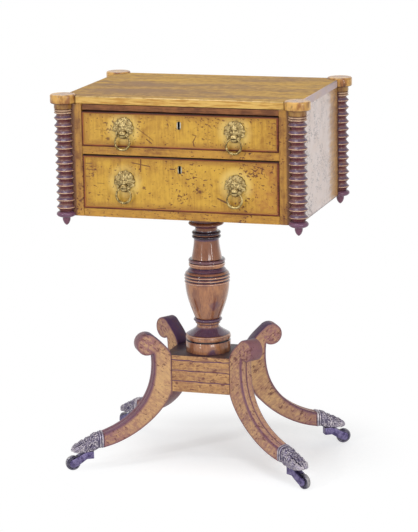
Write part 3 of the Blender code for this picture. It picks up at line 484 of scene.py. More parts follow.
def carved(mesh: Mesh, tool: Mesh) -> Mesh:
    """Cut one mesh out of another.

    Args:
        mesh: what is cut.
        tool: what is cut out of it.

    Returns:
        The result, a new mesh.
    """
    objects = [linked("operand", shape) for shape in (mesh, tool)]
    modifier = objects[0].modifiers.new("carve", "BOOLEAN")
    modifier.operation, modifier.solver, modifier.object = "DIFFERENCE", "EXACT", objects[1]
    result = evaluated(objects[0])
    drop(*objects)
    return result


def soft_block(low: Place, high: Place, edge: float) -> Mesh:
    """Give a block with rounded edges.

    Args:
        low: lowest corner.
        high: highest corner.
        edge: radius of the edges.

    Returns:
        The block's mesh.
    """
    bm = bmesh.new()
    low, high = Vector(low), Vector(high)
    matrix = Matrix.Translation((low + high) / 2) @ Matrix.Diagonal((*(high - low), 1.0))
    bmesh.ops.create_cube(bm, size=1.0, matrix=matrix)
    bmesh.ops.bevel(bm, geom=bm.edges[:], offset=edge, segments=3, profile=0.5, affect="EDGES")
    mesh = bpy.data.meshes.new("block")
    bm.to_mesh(mesh)
    bm.free()
    return soften(sealed(mesh))


def layered(levels: list[np.ndarray]) -> Mesh:
    """Give a closed skin through outlines of equal length, the first and last filled.

    Args:
        levels: one array of points for each level.

    Returns:
        The mesh.
    """
    count, last = len(levels[0]), len(levels) - 1
    faces = []
    for base in range(0, last * count, count):
        for index in range(count):
            beside = (index + 1) % count
            faces.append((base + index, base + beside, base + count + beside, base + count + index))
    faces += [range(count), range(last * count, (last + 1) * count)]
    return sealed(new_mesh(np.concatenate(levels).tolist(), faces))


def turned_copy(mesh: Mesh, turn: float, place: Place = (0, 0, 0)) -> Mesh:
    """Give a copy of a mesh in another place.

    Args:
        mesh: the mesh.
        turn: its turn about Z.
        place: where its origin goes.

    Returns:
        The copy.
    """
    mesh = mesh.copy()
    mesh.transform(Matrix.Translation(place) @ Matrix.Rotation(turn, 4, "Z"))
    return mesh


def add_piece(name: str, mesh: Mesh, finish: Material, body: str, slot: str, *nodes: str) -> None:
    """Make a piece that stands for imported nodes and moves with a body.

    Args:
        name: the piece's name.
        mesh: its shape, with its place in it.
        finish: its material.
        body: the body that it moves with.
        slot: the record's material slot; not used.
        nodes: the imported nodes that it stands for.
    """
    mesh.name = name
    mesh.materials.clear()
    mesh.materials.append(finish)
    piece = linked(name, mesh)
    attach(piece, body)
    if nodes:
        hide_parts(*nodes)
    LOG.info("%s: %d faces on %s", name, len(mesh.polygons), body)


def pulled_curve(start: Pair, start_pull: Pair, end: Pair, end_pull: Pair, steps: int) -> np.ndarray:
    """Give a cubic curve in a plane.

    Args:
        start: where it begins.
        start_pull: how it sets out.
        end: where it ends.
        end_pull: how it comes in.
        steps: steps along it.

    Returns:
        Its points.
    """
    t = np.linspace(0.0, 1.0, steps + 1)[:, None]
    handles = [np.array(start), np.add(start, start_pull), np.subtract(end, end_pull), np.array(end)]
    return ((1 - t) ** 3 * handles[0] + 3 * t * (1 - t) ** 2 * handles[1] + 3 * t * t * (1 - t) * handles[2]
            + t ** 3 * handles[3])


def side_normals(points: np.ndarray, closed: bool) -> np.ndarray:
    """Give the left-hand normals along a run of points in a plane.

    Args:
        points: the points.
        closed: whether the last is followed by the first.

    Returns:
        One normal for each point.
    """
    along = np.roll(points, -1, 0) - np.roll(points, 1, 0) if closed else np.gradient(points, axis=0)
    along /= np.linalg.norm(along, axis=1)[:, None]
    return np.column_stack([-along[:, 1], along[:, 0]])


def flat_face(rim: np.ndarray, depth: float, pitch: float) -> Mesh:
    """Give a flat face inside an outline of (x, z) points, with points all over it.

    Args:
        rim: the outline.
        depth: where the face lies on Y.
        pitch: distance between the points.

    Returns:
        The face as triangles.
    """
    low, high = rim.min(0), rim.max(0)
    grid = np.stack(np.meshgrid(np.arange(low[0], high[0], pitch), np.arange(low[1], high[1], pitch)), -1)
    grid = grid.reshape(-1, 2)
    ends = np.roll(rim, -1, 0)
    above = (rim[None, :, 1] > grid[:, None, 1]) != (ends[None, :, 1] > grid[:, None, 1])
    rise = np.where(np.abs(ends[:, 1] - rim[:, 1]) < 1e-12, 1e-12, ends[:, 1] - rim[:, 1])
    cross = rim[:, 0] + (grid[:, None, 1] - rim[:, 1]) * (ends[:, 0] - rim[:, 0]) / rise
    inside = (above & (grid[:, None, 0] < cross)).sum(1) % 2 == 1
    clear = np.linalg.norm(grid[:, None, :] - rim[None, :, :], axis=2).min(1) > pitch * 0.6
    points = [Vector(point) for point in np.concatenate([rim, grid[inside & clear]])]
    count = len(rim)
    edges = [(index, (index + 1) % count) for index in range(count)]
    result = delaunay_2d_cdt(points, edges, [tuple(range(count))], 1, TINY)
    return new_mesh([(x, depth, z) for x, z in result[0]], result[2])


class Graph(NodeCanvas):
    """One material, whose colour is laid on coat by coat."""

    def __init__(self, name: str) -> None:
        """Start a material with its shader and the object's own coordinates.

        Args:
            name: the material's name.
        """
        self.material = bpy.data.materials.new(name)
        self.material.use_nodes = True
        super().__init__(self.material.node_tree)
        self.shader = self.tree.nodes["Principled BSDF"]
        self.place = self.node("ShaderNodeTexCoord").outputs["Object"]
        self.x, self.y, self.z = self.node("ShaderNodeSeparateXYZ", {0: self.place}).outputs
        self.colour: object = None

    def stretched(self, scale: Place, vector: NodeSocket | None = None, shift: Place = (0, 0, 0)) -> NodeSocket:
        """Give coordinates scaled on each axis and moved."""
        feeds = {"Vector": vector or self.place, "Scale": scale, "Location": shift}
        return self.node("ShaderNodeMapping", feeds).outputs[0]

    def noise(self, scale: float, detail: float = 3.0, rough: float = 0.55, warp: float = 0.0,
              stretch: Place | None = None, at: NodeSocket | None = None) -> NodeSocket:
        """Give soft noise of about 0 to 1.

        Args:
            scale: how fine it is.
            detail: how many finer levels it has.
            rough: how strong these are.
            warp: how far it is bent.
            stretch: scale of its coordinates on each axis.
            at: its coordinates, if not the object's.

        Returns:
            The noise.
        """
        place = self.stretched(stretch, at) if stretch else at or self.place
        feeds = {"Vector": place, "Scale": scale, "Detail": detail, "Roughness": rough, "Distortion": warp}
        return self.node("ShaderNodeTexNoise", feeds).outputs[0]

    def cells(self, scale: float, place: NodeSocket | None = None) -> NodeSocket:
        """Give the distance to the nearest of scattered points."""
        return self.node("ShaderNodeTexVoronoi", {"Vector": place or self.place, "Scale": scale}).outputs["Distance"]

    def times(self, first: object, *others: object) -> NodeSocket:
        """Give the product of several numbers."""
        return self.times(self.math("MULTIPLY", first, others[0]), *others[1:]) if others else first

    def most(self, first: object, *others: object) -> NodeSocket:
        """Give the largest of several numbers."""
        return self.most(self.math("MAXIMUM", first, others[0]), *others[1:]) if others else first

    def plus(self, value: object, other: object, share: float) -> NodeSocket:
        """Give a number plus a share of another."""
        return self.math("ADD", value, self.times(other, share))

    def shaken(self, value: object, noise_value: NodeSocket, amount: float) -> NodeSocket:
        """Give a number moved up and down by noise."""
        return self.plus(value, self.math("SUBTRACT", noise_value, 0.5), amount)

    def apart(self, value: object, other: float = 0.0) -> NodeSocket:
        """Give how far a number is from another."""
        return self.math("ABSOLUTE", self.math("SUBTRACT", value, other))

    def blend(self, *parts: tuple[NodeSocket, float]) -> NodeSocket:
        """Give the sum of several numbers, each with its weight."""
        tail = self.blend(*parts[1:]) if len(parts) > 1 else None
        return self.plus(tail, *parts[0]) if tail else self.times(*parts[0])

    def value(self, name: str) -> NodeSocket:
        """Give a number that the mesh carries."""
        return self.node("ShaderNodeAttribute", attribute_name=name).outputs["Fac"]

    def carried(self, name: str) -> NodeSocket:
        """Give a vector that the mesh carries."""
        return self.node("ShaderNodeAttribute", attribute_name=name).outputs["Vector"]

    def facing(self) -> NodeSocket:
        """Give how far a face looks up, from -1 for an underside to 1."""
        normal = self.node("ShaderNodeNewGeometry").outputs["Normal"]
        return self.node("ShaderNodeSeparateXYZ", {0: normal}).outputs["Z"]

    def front_distance(self, centre: Pair, x: NodeSocket | None = None) -> NodeSocket:
        """Give the distance on the front from an (x, z) point, with another x if one is given."""
        flat = self.node("ShaderNodeCombineXYZ", {"X": x or self.x, "Z": self.z}).outputs[0]
        return self.vector("DISTANCE", flat, (centre[0], 0.0, centre[1]))

    def stroke(self, mark: Stroke) -> NodeSocket:
        """Give a mark on the front.

        Args:
            mark: the mark.

        Returns:
            Its depth along it, and 0 away from it.
        """
        start = Vector((mark.start[0], 0.0, mark.start[1]))
        along = Vector((mark.end[0], 0.0, mark.end[1])) - start
        flat = self.node("ShaderNodeCombineXYZ", {"X": self.x, "Z": self.z}).outputs[0]
        lead = self.vector("SUBTRACT", flat, tuple(start))
        share = self.math("DIVIDE", self.vector("DOT_PRODUCT", lead, tuple(along)), along.length_squared, True)
        away = self.vector("DISTANCE", lead, self.scaled(tuple(along), share))
        return self.span(self.plus(away, self.noise(300.0), -mark.width), 0.0, mark.width, mark.depth, 0.0)

    def ground(self, first: Colour, second: Colour, value: NodeSocket, low: float, high: float) -> None:
        """Start the colour as a smooth step from one to another."""
        self.colour = first
        self.lay(second, value, low, high)

    def lay(self, colour: object, share: object, *limits: float) -> None:
        """Lay a coat over the colour.

        Args:
            colour: the coat's colour.
            share: how much of it shows, or the number that this is read from.
            limits: how it is read from that number, as for span.
        """
        amount = self.span(share, *limits) if limits else share
        feeds = {0: amount, 6: self.colour, 7: colour}
        self.colour = self.node("ShaderNodeMix", feeds, data_type="RGBA").outputs[2]

    def dress(self, gloss: NodeSocket, rough: Pair, height: NodeSocket, depth: float, specular: float = 0.5,
              coat: Pair = (0.0, 0.03), metal: float = 0.0) -> Material:
        """Join colour, roughness and relief to the shader.

        Args:
            gloss: noise that the roughness follows.
            rough: least and most roughness.
            height: relief.
            depth: what a height of 1 stands for, in metres.
            specular: level of reflection.
            coat: weight and roughness of the varnish.
            metal: how metallic it is.

        Returns:
            The material.
        """
        bump = self.node("ShaderNodeBump", {"Height": height, "Distance": depth, "Strength": 1.0}).outputs[0]
        inputs = {"Base Color": self.colour, "Roughness": self.span(gloss, 0.3, 0.7, *rough), "Normal": bump,
                  "Specular IOR Level": specular, "Coat Weight": coat[0], "Coat Roughness": coat[1],
                  "Metallic": metal}
        for name, value in inputs.items():
            self.feed(self.shader.inputs[name], value)
        return self.material


@dataclass(frozen=True)
class Stroke:
    """A scratch, crack or stain on the front, between two (x, z) points."""

    start: Pair
    end: Pair
    width: float = 0.0010
    depth: float = 0.9


@dataclass(frozen=True)
class FiguredMaple:
    """Varnished bird's-eye maple: mottled gold with fine figure, dark eyes in clusters and worn marks."""

    name: str
    pale: Colour = paint(203, 158, 56)
    deep: Colour = paint(152, 102, 32)
    mark: Colour = paint(94, 46, 24)
    grime: Colour = paint(134, 78, 34)
    dirt: Colour = paint(88, 50, 38)
    stained: Colour = paint(166, 100, 50)
    worn: Colour = paint(238, 208, 124)
    bleached: Colour = paint(210, 194, 188)
    scratch: Colour = paint(86, 68, 74)
    seam: Colour = paint(84, 50, 48)
    fibre: Fibre = Fibre.UP
    eyes: float = 0.75
    rim: Place | None = None                # half width, middle height, half height of a front
    halo_height: float | None = None        # of the two masks with worn wood round them
    strokes: tuple[Stroke, ...] = ()
    stain_from: float | None = None         # where the front goes browner and more specked, on X
    joint_from: float | None = None         # where painted shade and dirt darken the stile beside the columns, on X
    end_from: float | None = None           # where the ends of a side, in the columns' valleys, get painted shade, on Y
    faded: bool = False                     # the right side: a painted reflection of a lamp, ending in a painted shadow of its back column, and scratches
    ring_pitch: float = 0.01403             # of the columns, whose rings scallop the edge of that painted shadow

    def make(self) -> Material:
        """Build the material.

        Returns:
            The material.
        """
        graph = Graph(self.name)
        cloud = graph.noise(11.0, 4.0, 0.6)
        mottle = graph.noise(75.0, 4.0, 0.65, 0.5)
        figure = graph.noise(210.0, 3.0, 0.6, 0.4, self.fibre.value)
        tone = graph.blend((cloud, 0.38), (mottle, 0.32), (figure, 0.30))
        graph.ground(self.deep, self.pale, tone, 0.33, 0.60)
        stain = 0.0
        if self.stain_from is not None:
            drift = graph.shaken(graph.x, cloud, 0.10)
            stain = graph.span(drift, self.stain_from - 0.03, self.stain_from + 0.05)
            graph.lay(self.stained, graph.times(stain, graph.span(mottle, 0.3, 0.6, 0.7, 0.25)))
        marks = graph.most(self.eye_marks(graph, mottle, stain), *(graph.stroke(mark) for mark in self.strokes))
        if self.halo_height is not None:
            away = graph.front_distance((MASK_X, self.halo_height), graph.apart(graph.x))
            graph.lay(self.worn, graph.times(graph.span(away, 0.021, 0.038, 0.55, 0.0), graph.span(cloud, 0.3, 0.55)))
        # darker along the edges of a front
        if self.rim is not None:
            graph.lay(self.grime, self.rim_grime(graph, cloud))
        if self.joint_from is not None:
            # painted shade with dirt: the stile darkens beside the columns
            out = graph.plus(graph.apart(graph.x), mottle, 0.004)
            graph.lay(self.dirt, out, self.joint_from, self.joint_from + 0.0055, 0.0, 0.85)
        graph.lay(self.mark, marks)
        if self.faded:
            # painted reflection on the right side, ending in a painted shadow of the back column
            graph.lay(self.bleached, self.bleach(graph))
            graph.lay(self.scratch, self.side_scratches(graph))
            # darker towards the back column and along the bottom edge
            graph.lay(self.seam, graph.most(graph.span(graph.y, 0.126, 0.138, 0.0, 0.75),
                                            graph.span(graph.z, 0.5028, 0.5042, 0.8, 0.0)))
        # painted shade on the ends of a side, where they show in the columns' valleys
        if self.end_from is not None:
            graph.lay(self.dirt, graph.apart(graph.y), self.end_from, self.end_from + 0.003)
        relief = graph.blend((figure, 0.25), (marks, -0.8))
        return graph.dress(mottle, (0.30, 0.46), relief, 0.00022, 0.35, (0.10, 0.15))

    def eye_marks(self, graph: Graph, mottle: NodeSocket, stain: object) -> NodeSocket:
        """Give the eyes of the wood and the specks where its varnish has gone.

        Args:
            graph: the material.
            mottle: its middling noise.
            stain: how far the wood is stained, which brings more specks.

        Returns:
            The marks, from 0 to 1.
        """
        crowd = graph.plus(graph.noise(24.0), stain, 0.12)
        grain = graph.noise(250.0, 3.0, 0.5, 0.3, (0.75, 1.0, 1.0))
        specks = graph.span(graph.shaken(grain, crowd, 0.42), 0.622, 0.695)
        lone = graph.span(graph.plus(graph.cells(66.0), mottle, 0.14), 0.10, 0.17, 1.0, 0.0)
        smear = graph.span(graph.noise(95.0, 4.0, 0.7, 0.0, (1.0, 1.0, 0.7)), 0.60, 0.72, 0.0, 0.4)
        smear = graph.times(smear, graph.span(crowd, 0.46, 0.60))
        return graph.times(graph.most(specks, smear, graph.times(lone, 0.8)), self.eyes)

    def rim_grime(self, graph: Graph, cloud: NodeSocket) -> NodeSocket:
        """Give the patchy darkening along the edges of a drawer front.

        Args:
            graph: the material.
            cloud: its broad noise.

        Returns:
            The darkening, from 0 to 1.
        """
        half, middle, high = self.rim
        side = graph.span(graph.apart(graph.x), half - 0.016, half - 0.003)
        edge = graph.span(graph.apart(graph.z, middle), high - 0.011, high - 0.003)
        return graph.times(graph.most(side, edge), graph.span(cloud, 0.25, 0.7), 0.5)

    def bleach(self, graph: Graph) -> NodeSocket:
        """Give how far the right side is painted pale as a reflection of a lamp, less so in the painted shadow beside
        its back column.

        Args:
            graph: the material.

        Returns:
            The painted reflection, from 0 to 1.
        """
        scallop = graph.apart(graph.math("SINE", graph.times(graph.z, math.pi / self.ring_pitch)))
        ragged = graph.plus(graph.plus(graph.y, graph.noise(70.0, 4.0), 0.030), scallop, 0.008)
        patches = graph.span(graph.noise(22.0, 4.0), 0.35, 0.65, 0.86, 1.0)
        return graph.times(graph.span(ragged, 0.076, 0.116, 1.0, 0.0), patches, 0.96)

    def side_scratches(self, graph: Graph) -> NodeSocket:
        """Give the fine dark scratches of the right side, thicker towards the front.

        Args:
            graph: the material.

        Returns:
            The scratches, from 0 to 1.
        """
        wander = graph.apart(graph.noise(120.0, 4.0, 0.65, 1.0, (1.0, 0.45, 1.0)), 0.5)
        where = graph.span(graph.noise(34.0), 0.42, 0.58)
        return graph.times(graph.span(wander, 0.008, 0.036, 1.0, 0.0), where,
                           graph.span(graph.y, -0.10, 0.12, 0.95, 0.45))


@dataclass(frozen=True)
class StreakedTop:
    """The worn top: tan wood with smoky streaks along its length and a paler front edge."""

    name: str = "top_maple"
    pale: Colour = paint(202, 160, 76)
    deep: Colour = paint(136, 94, 38)
    smoke: Colour = paint(104, 74, 60)
    edge_gold: Colour = paint(220, 182, 106)
    edge_brown: Colour = paint(186, 138, 72)
    worn_edge: Colour = paint(246, 220, 166)
    bleached: Colour = paint(196, 180, 186)
    dirt: Colour = paint(84, 50, 34)
    edge_levels: Pair = (0.7245, 0.7268)    # between which the edge gives way to the top
    ridge: float = 0.7264                   # height of the painted highlight along the rounded front edge
    right_end: Pair = (0.2245, 0.2262)      # where the painted reflection on the right edge begins, on X
    head_rim: Pair = (0.0246, 0.0272)       # darker ring round a column's head, from its middle

    def make(self) -> Material:
        """Build the material.

        Returns:
            The material.
        """
        graph = Graph(self.name)
        cloud = graph.noise(16.0, 4.0, 0.6, 0.6, (0.22, 1.0, 1.0))
        mottle = graph.noise(80.0, 4.0, 0.65)
        fine = graph.noise(420.0, stretch=(0.06, 1.0, 1.0))
        grit = graph.noise(300.0, 4.0, 0.6, 0.0, (0.10, 1.0, 1.0))
        graph.ground(self.edge_brown, self.edge_gold, grit, 0.36, 0.60)
        edging = graph.colour
        graph.ground(self.deep, self.pale, graph.blend((cloud, 0.5), (mottle, 0.25), (fine, 0.25)), 0.40, 0.60)
        drift = graph.noise(30.0, 5.0, 0.65, 0.8, at=graph.stretched((0.30, 1.0, 1.0), shift=(0.4, 0.2, 0)))
        graph.lay(self.smoke, drift, 0.54, 0.70, 0.0, 0.7)
        specks = graph.times(graph.span(graph.cells(150.0, graph.stretched((0.6, 1.0, 1.0))), 0.08, 0.22, 1.0, 0.0),
                             graph.span(graph.noise(14.0), 0.48, 0.66))
        graph.lay(self.dirt, graph.times(specks, 0.7))
        graph.lay(edging, graph.z, *self.edge_levels, 0.85, 0.0)
        # painted highlight along the rounded front edge, broken by the mottle
        line = graph.span(graph.apart(graph.z, self.ridge), 0.0003, 0.0009, 0.85, 0.0)
        graph.lay(self.worn_edge, graph.times(line, graph.span(mottle, 0.3, 0.6, 0.4, 1.0)))
        # painted reflection on the board's right edge
        paleness = graph.span(cloud, 0.25, 0.6, 0.5, 0.9)
        graph.lay(self.bleached, graph.times(graph.span(graph.x, *self.right_end), paleness))
        folded = graph.vector("ABSOLUTE", graph.vector("MULTIPLY", graph.place, (1.0, 1.0, 0.0)))
        graph.lay(self.dirt, graph.vector("DISTANCE", folded, (COLUMN_X, COLUMN_Y, 0.0)), *self.head_rim, 0.8, 0.0)
        return graph.dress(cloud, (0.42, 0.58), graph.math("SUBTRACT", fine, specks), 0.0002, 0.12)


@dataclass(frozen=True)
class StainedRail:
    """Red-brown stained wood of the recessed rail and the cockbeads."""

    name: str
    pale: Colour
    deep: Colour
    sooty: tuple[float, ...] = ()       # heights under which an upper edge gets a painted shadow of the gap above it
    rubs: bool = False                  # whether the mesh marks where the stain is rubbed off
    rubbed: Colour = paint(184, 130, 58)
    soot: Colour = paint(36, 16, 10)

    def make(self) -> Material:
        """Build the material.

        Returns:
            The material.
        """
        graph = Graph(self.name)
        fine = graph.noise(360.0, stretch=(0.08, 1.0, 1.0))
        cloud = graph.noise(40.0)
        graph.ground(self.deep, self.pale, graph.blend((fine, 0.5), (cloud, 0.5)), 0.38, 0.64)
        if self.rubs:
            graph.lay(self.rubbed, graph.value("shade"), 0.1, 0.7, 1.0, 0.0)
        # painted shadow in the gap above each drawer and under the top board
        for top in self.sooty:
            above = graph.span(graph.z, top + 0.001, top + 0.002, 0.95, 0.0)
            graph.lay(self.soot, graph.times(graph.span(graph.z, top - 0.0021, top - 0.0010), above))
        return graph.dress(cloud, (0.34, 0.50), fine, 0.00015, 0.2)


@dataclass(frozen=True)
class RingTurning:
    """The columns: gold heads and collars, dark rings painted lighter on their upper slopes and darker on their lower
    as lit and shaded, and a bright line on each crest that is wear and a painted highlight.
    """

    name: str = "dark_turning"
    gold: Colour = paint(212, 164, 88)
    amber: Colour = paint(150, 96, 48)
    # painted light: upper for the lit upper slope of a ring, lower for its shaded lower slope
    upper: Colour = paint(99, 76, 98)
    lower: Colour = paint(98, 52, 58)
    plum: Colour = paint(112, 70, 96)
    ruddy: Colour = paint(132, 86, 68)
    crest: Colour = paint(230, 194, 156)
    seam: Colour = paint(78, 42, 32)
    collar: Colour = paint(104, 70, 36)
    ring_top: Pair = (0.7025, 0.7037)       # between which the rings give way to the collar

    def make(self) -> Material:
        """Build the material.

        Returns:
            The material.
        """
        graph = Graph(self.name)
        cloud = graph.noise(60.0, stretch=(1.0, 1.0, 0.5))
        fine = graph.noise(500.0, stretch=(1.0, 1.0, 0.12))
        graph.ground(self.amber, self.gold, cloud, 0.38, 0.62)
        graph.lay(self.seam, graph.noise(210.0, stretch=(0.4, 0.4, 0.25)), 0.56, 0.70, 0.0, 0.6)
        # painted shade under the lip of the head
        graph.lay(self.seam, graph.apart(graph.z, HEAD_LOW), 0.0006, 0.0022, 0.85, 0.0)
        graph.lay(self.collar, graph.z, HEAD_LOW - 0.001, HEAD_LOW, 0.55, 0.0)
        head = graph.colour
        shade = graph.value("shade")
        # painted light and shade on the rings' slopes, as the mesh's shade says
        graph.ground(self.upper, self.lower, shade, 0.10, 0.45)
        graph.lay(self.ruddy, cloud, 0.45, 0.70, 0.0, 0.5)
        graph.lay(self.seam, fine, 0.55, 0.75, 0.0, 0.3)
        graph.lay(self.plum, graph.z, LAST_RING_TOP, LAST_RING_TOP - 0.002, 0.0, 0.7)
        # bright crest lines: wear and a painted highlight
        graph.lay(self.crest, graph.times(graph.span(shade, 0.70, 0.96), graph.span(cloud, 0.28, 0.50, 0.45, 1.0)))
        graph.lay(head, graph.z, *self.ring_top)
        return graph.dress(cloud, (0.24, 0.36), fine, 0.00008, 0.3, (0.25, 0.10))


@dataclass(frozen=True)
class PedestalPolish:
    """The pedestal: polished rosy maple with streaks, plum painted shade on its undersides, black grooves, and pale
    crests of wear and painted highlight.
    """

    name: str = "pedestal_maple"
    gold: Colour = paint(184, 128, 88)
    brown: Colour = paint(128, 80, 62)
    plum: Colour = paint(88, 60, 86)
    black: Colour = paint(30, 15, 28)
    amber: Colour = paint(116, 60, 24)
    rubbed: Colour = paint(232, 196, 178)
    warm_from: Pair = (0.385, 0.410)        # where the shaft begins, which is yellower
    smudges: tuple[tuple[Place, float], ...] = (((0.022, -0.026, 0.310), 0.5), ((0.022, -0.040, 0.2190), 0.9))

    def make(self) -> Material:
        """Build the material.

        Returns:
            The material.
        """
        graph = Graph(self.name)
        cloud = graph.noise(34.0, 4.0, 0.6, 0.3, (1.0, 1.0, 0.45))
        fine = graph.noise(380.0, stretch=(1.0, 1.0, 0.10))
        graph.ground(self.brown, self.gold, graph.blend((cloud, 0.7), (fine, 0.3)), 0.36, 0.64)
        graph.lay(self.amber, graph.z, *self.warm_from, 0.0, 0.6)
        graph.lay(self.plum, graph.noise(90.0, 4.0, 0.65, 0.0, (1.0, 1.0, 0.3)), 0.58, 0.74, 0.0, 0.2)
        # painted shade: undersides go plum
        graph.lay(self.plum, graph.plus(graph.facing(), cloud, -0.5), -0.75, -1.2, 0.0, 0.85)
        dark = graph.shaken(graph.value("shade"), cloud, 0.2)
        # pale crests where the shade is negative: wear and a painted highlight
        graph.lay(self.rubbed, dark, -0.15, -0.6, 0.0, 0.75)
        graph.lay(self.plum, dark, 0.15, 0.55)
        graph.lay(self.black, dark, 0.55, 0.95)
        for spot, strength in self.smudges:
            away = graph.plus(graph.vector("DISTANCE", graph.place, spot), graph.noise(130.0), 0.022)
            graph.lay(self.plum, away, 0.015, 0.026, strength, 0.0)
        return graph.dress(cloud, (0.20, 0.34), fine, 0.00010, 0.25, (0.7, 0.06))


@dataclass(frozen=True)
class LegMaple:
    """Sabre legs and platform: rosy tan maple with dark flecks along the grain and plum painted shade on the edges."""

    name: str
    gold: Colour = paint(212, 172, 124)
    tan: Colour = paint(178, 134, 106)
    plum: Colour = paint(118, 78, 96)
    rose: Colour = paint(146, 100, 112)
    fleck: Colour = paint(104, 60, 62)
    dusk: Colour = paint(80, 58, 94)
    dust: Colour = paint(38, 24, 50)
    carried: bool = True                # whether the mesh carries its own coordinates
    slope: float = 0.0                  # turn of the fibres about Y
    dusty_top: bool = False             # whether what looks up is darker
    knots: tuple[Pair, ...] = ()        # (x, z) of dark knots on the front

    def make(self) -> Material:
        """Build the material.

        Returns:
            The material.
        """
        graph = Graph(self.name)
        place = graph.carried("lay") if self.carried else graph.place
        turned = graph.node("ShaderNodeMapping", {"Vector": place, "Rotation": (0.0, self.slope, 0.0)}).outputs[0]
        cloud = graph.noise(26.0, 4.0, 0.6, at=turned)
        mottle = graph.noise(190.0, 4.0, 0.65, 0.5, (0.7, 1.0, 1.0), turned)
        fine = graph.noise(430.0, stretch=(0.07, 1.0, 1.0), at=turned)
        graph.ground(self.tan, self.gold, graph.blend((cloud, 0.3), (mottle, 0.45), (fine, 0.25)), 0.40, 0.60)
        blush = graph.value("blush")
        graph.lay(self.rose, graph.times(blush, graph.span(mottle, 0.36, 0.62, 1.0, 0.35)))
        along = graph.stretched((0.2, 1.0, 1.0), turned)
        graph.lay(self.plum, graph.noise(70.0, 4.0, 0.6, 0.5, at=along), 0.54, 0.70, 0.0, 0.35)
        # painted shade: plum at the edges, deeper on the faces towards the pedestal and in the platform's lines
        edges = graph.shaken(graph.value("shade"), mottle, 0.7)
        graph.lay(self.plum, edges, 0.15, 0.9, 0.0, 0.9)
        graph.lay(self.dusk, edges, 0.95, 1.45, 0.0, 0.9)
        crowd = graph.plus(graph.noise(45.0, 2.0, at=along), blush, 0.10)
        grain = graph.noise(230.0, stretch=(0.45, 1.0, 1.0), at=turned)
        flecks = graph.span(graph.shaken(grain, crowd, 0.35), 0.595, 0.66)
        for knot in self.knots:
            away = graph.plus(graph.front_distance(knot), mottle, 0.006)
            flecks = graph.most(flecks, graph.span(away, 0.0040, 0.0075, 1.0, 0.0))
        graph.lay(self.fleck, graph.times(flecks, 0.75))
        # darker on what looks up
        if self.dusty_top:
            thickness = graph.span(cloud, 0.3, 0.7, 1.0, 0.8)
            graph.lay(self.dust, graph.times(graph.span(graph.facing(), 0.5, 0.9), thickness))
        return graph.dress(cloud, (0.34, 0.50), graph.blend((fine, 0.5), (flecks, -0.7)), 0.0002, 0.22)


@dataclass(frozen=True)
class BarePine:
    """Unvarnished softwood of the drawers' insides and the back."""

    name: str
    fibre: Fibre
    pale: Colour = paint(206, 168, 116)
    deep: Colour = paint(150, 106, 64)
    dust: Colour = paint(112, 84, 58)
    knot: Colour = paint(84, 50, 30)

    def make(self) -> Material:
        """Build the material.

        Returns:
            The material.
        """
        graph = Graph(self.name)
        scale = self.fibre.value
        rings = graph.noise(90.0, 3.0, 0.5, 0.8, tuple(0.5 * value for value in scale))
        rings = graph.math("PINGPONG", graph.times(rings, 9.0), 1.0)
        fine = graph.noise(480.0, stretch=scale)
        graph.ground(self.pale, self.deep, graph.blend((rings, 0.35), (fine, 0.65)), 0.25, 0.85)
        graph.lay(self.dust, graph.noise(12.0, 4.0), 0.5, 0.8, 0.0, 0.5)
        knots = graph.cells(7.0, graph.stretched((1.0, 1.0, 1.0), shift=(0.2, 0.4, 0.1)))
        graph.lay(self.knot, knots, 0.03, 0.07, 0.7, 0.0)
        return graph.dress(fine, (0.55, 0.75), fine, 0.0003, 0.3)


@dataclass(frozen=True)
class CastBrass:
    """Cast brass: bright on what stands proud, painted shade in the hollows, with patches of tarnish."""

    name: str
    bright: Colour
    dull: Colour
    hollow: Colour
    metal: float = 0.75
    gloss: float = 0.38
    grain: float = 0.0003
    black: Colour = paint(20, 14, 12)
    worn: Colour | None = None          # bare metal where the mesh's shade says that it rubs
    sunk: float | None = None           # depth on Y past which it is painted black as shade
    keyhole: float | None = None        # half width about the middle of the table that is painted black as the keyhole's shade

    def make(self) -> Material:
        """Build the material.

        Returns:
            The material.
        """
        graph = Graph(self.name)
        cloud = graph.noise(120.0, 4.0, 0.6)
        speck = graph.noise(900.0, 3.0, 0.6)
        graph.ground(self.dull, self.bright, cloud, 0.36, 0.62)
        graph.lay(self.dull, speck, 0.55, 0.75, 0.0, 0.5)
        # painted shade in the hollows, as the mesh marks them
        graph.lay(self.hollow, graph.shaken(graph.value("hollow"), cloud, 0.25), 0.30, 0.80)
        if self.worn is not None:
            graph.lay(self.worn, graph.times(graph.value("shade"), graph.span(cloud, 0.3, 0.6)))
        # painted shade: black inside the front and in the keyhole
        if self.sunk is not None:
            graph.lay(self.black, graph.y, self.sunk, self.sunk + 0.0008)
        if self.keyhole is not None:
            graph.lay(self.black, graph.apart(graph.x), self.keyhole - 0.0004, self.keyhole, 1.0, 0.0)
        rough = (self.gloss - 0.08, self.gloss + 0.10)
        return graph.dress(cloud, rough, speck, self.grain, metal=self.metal)


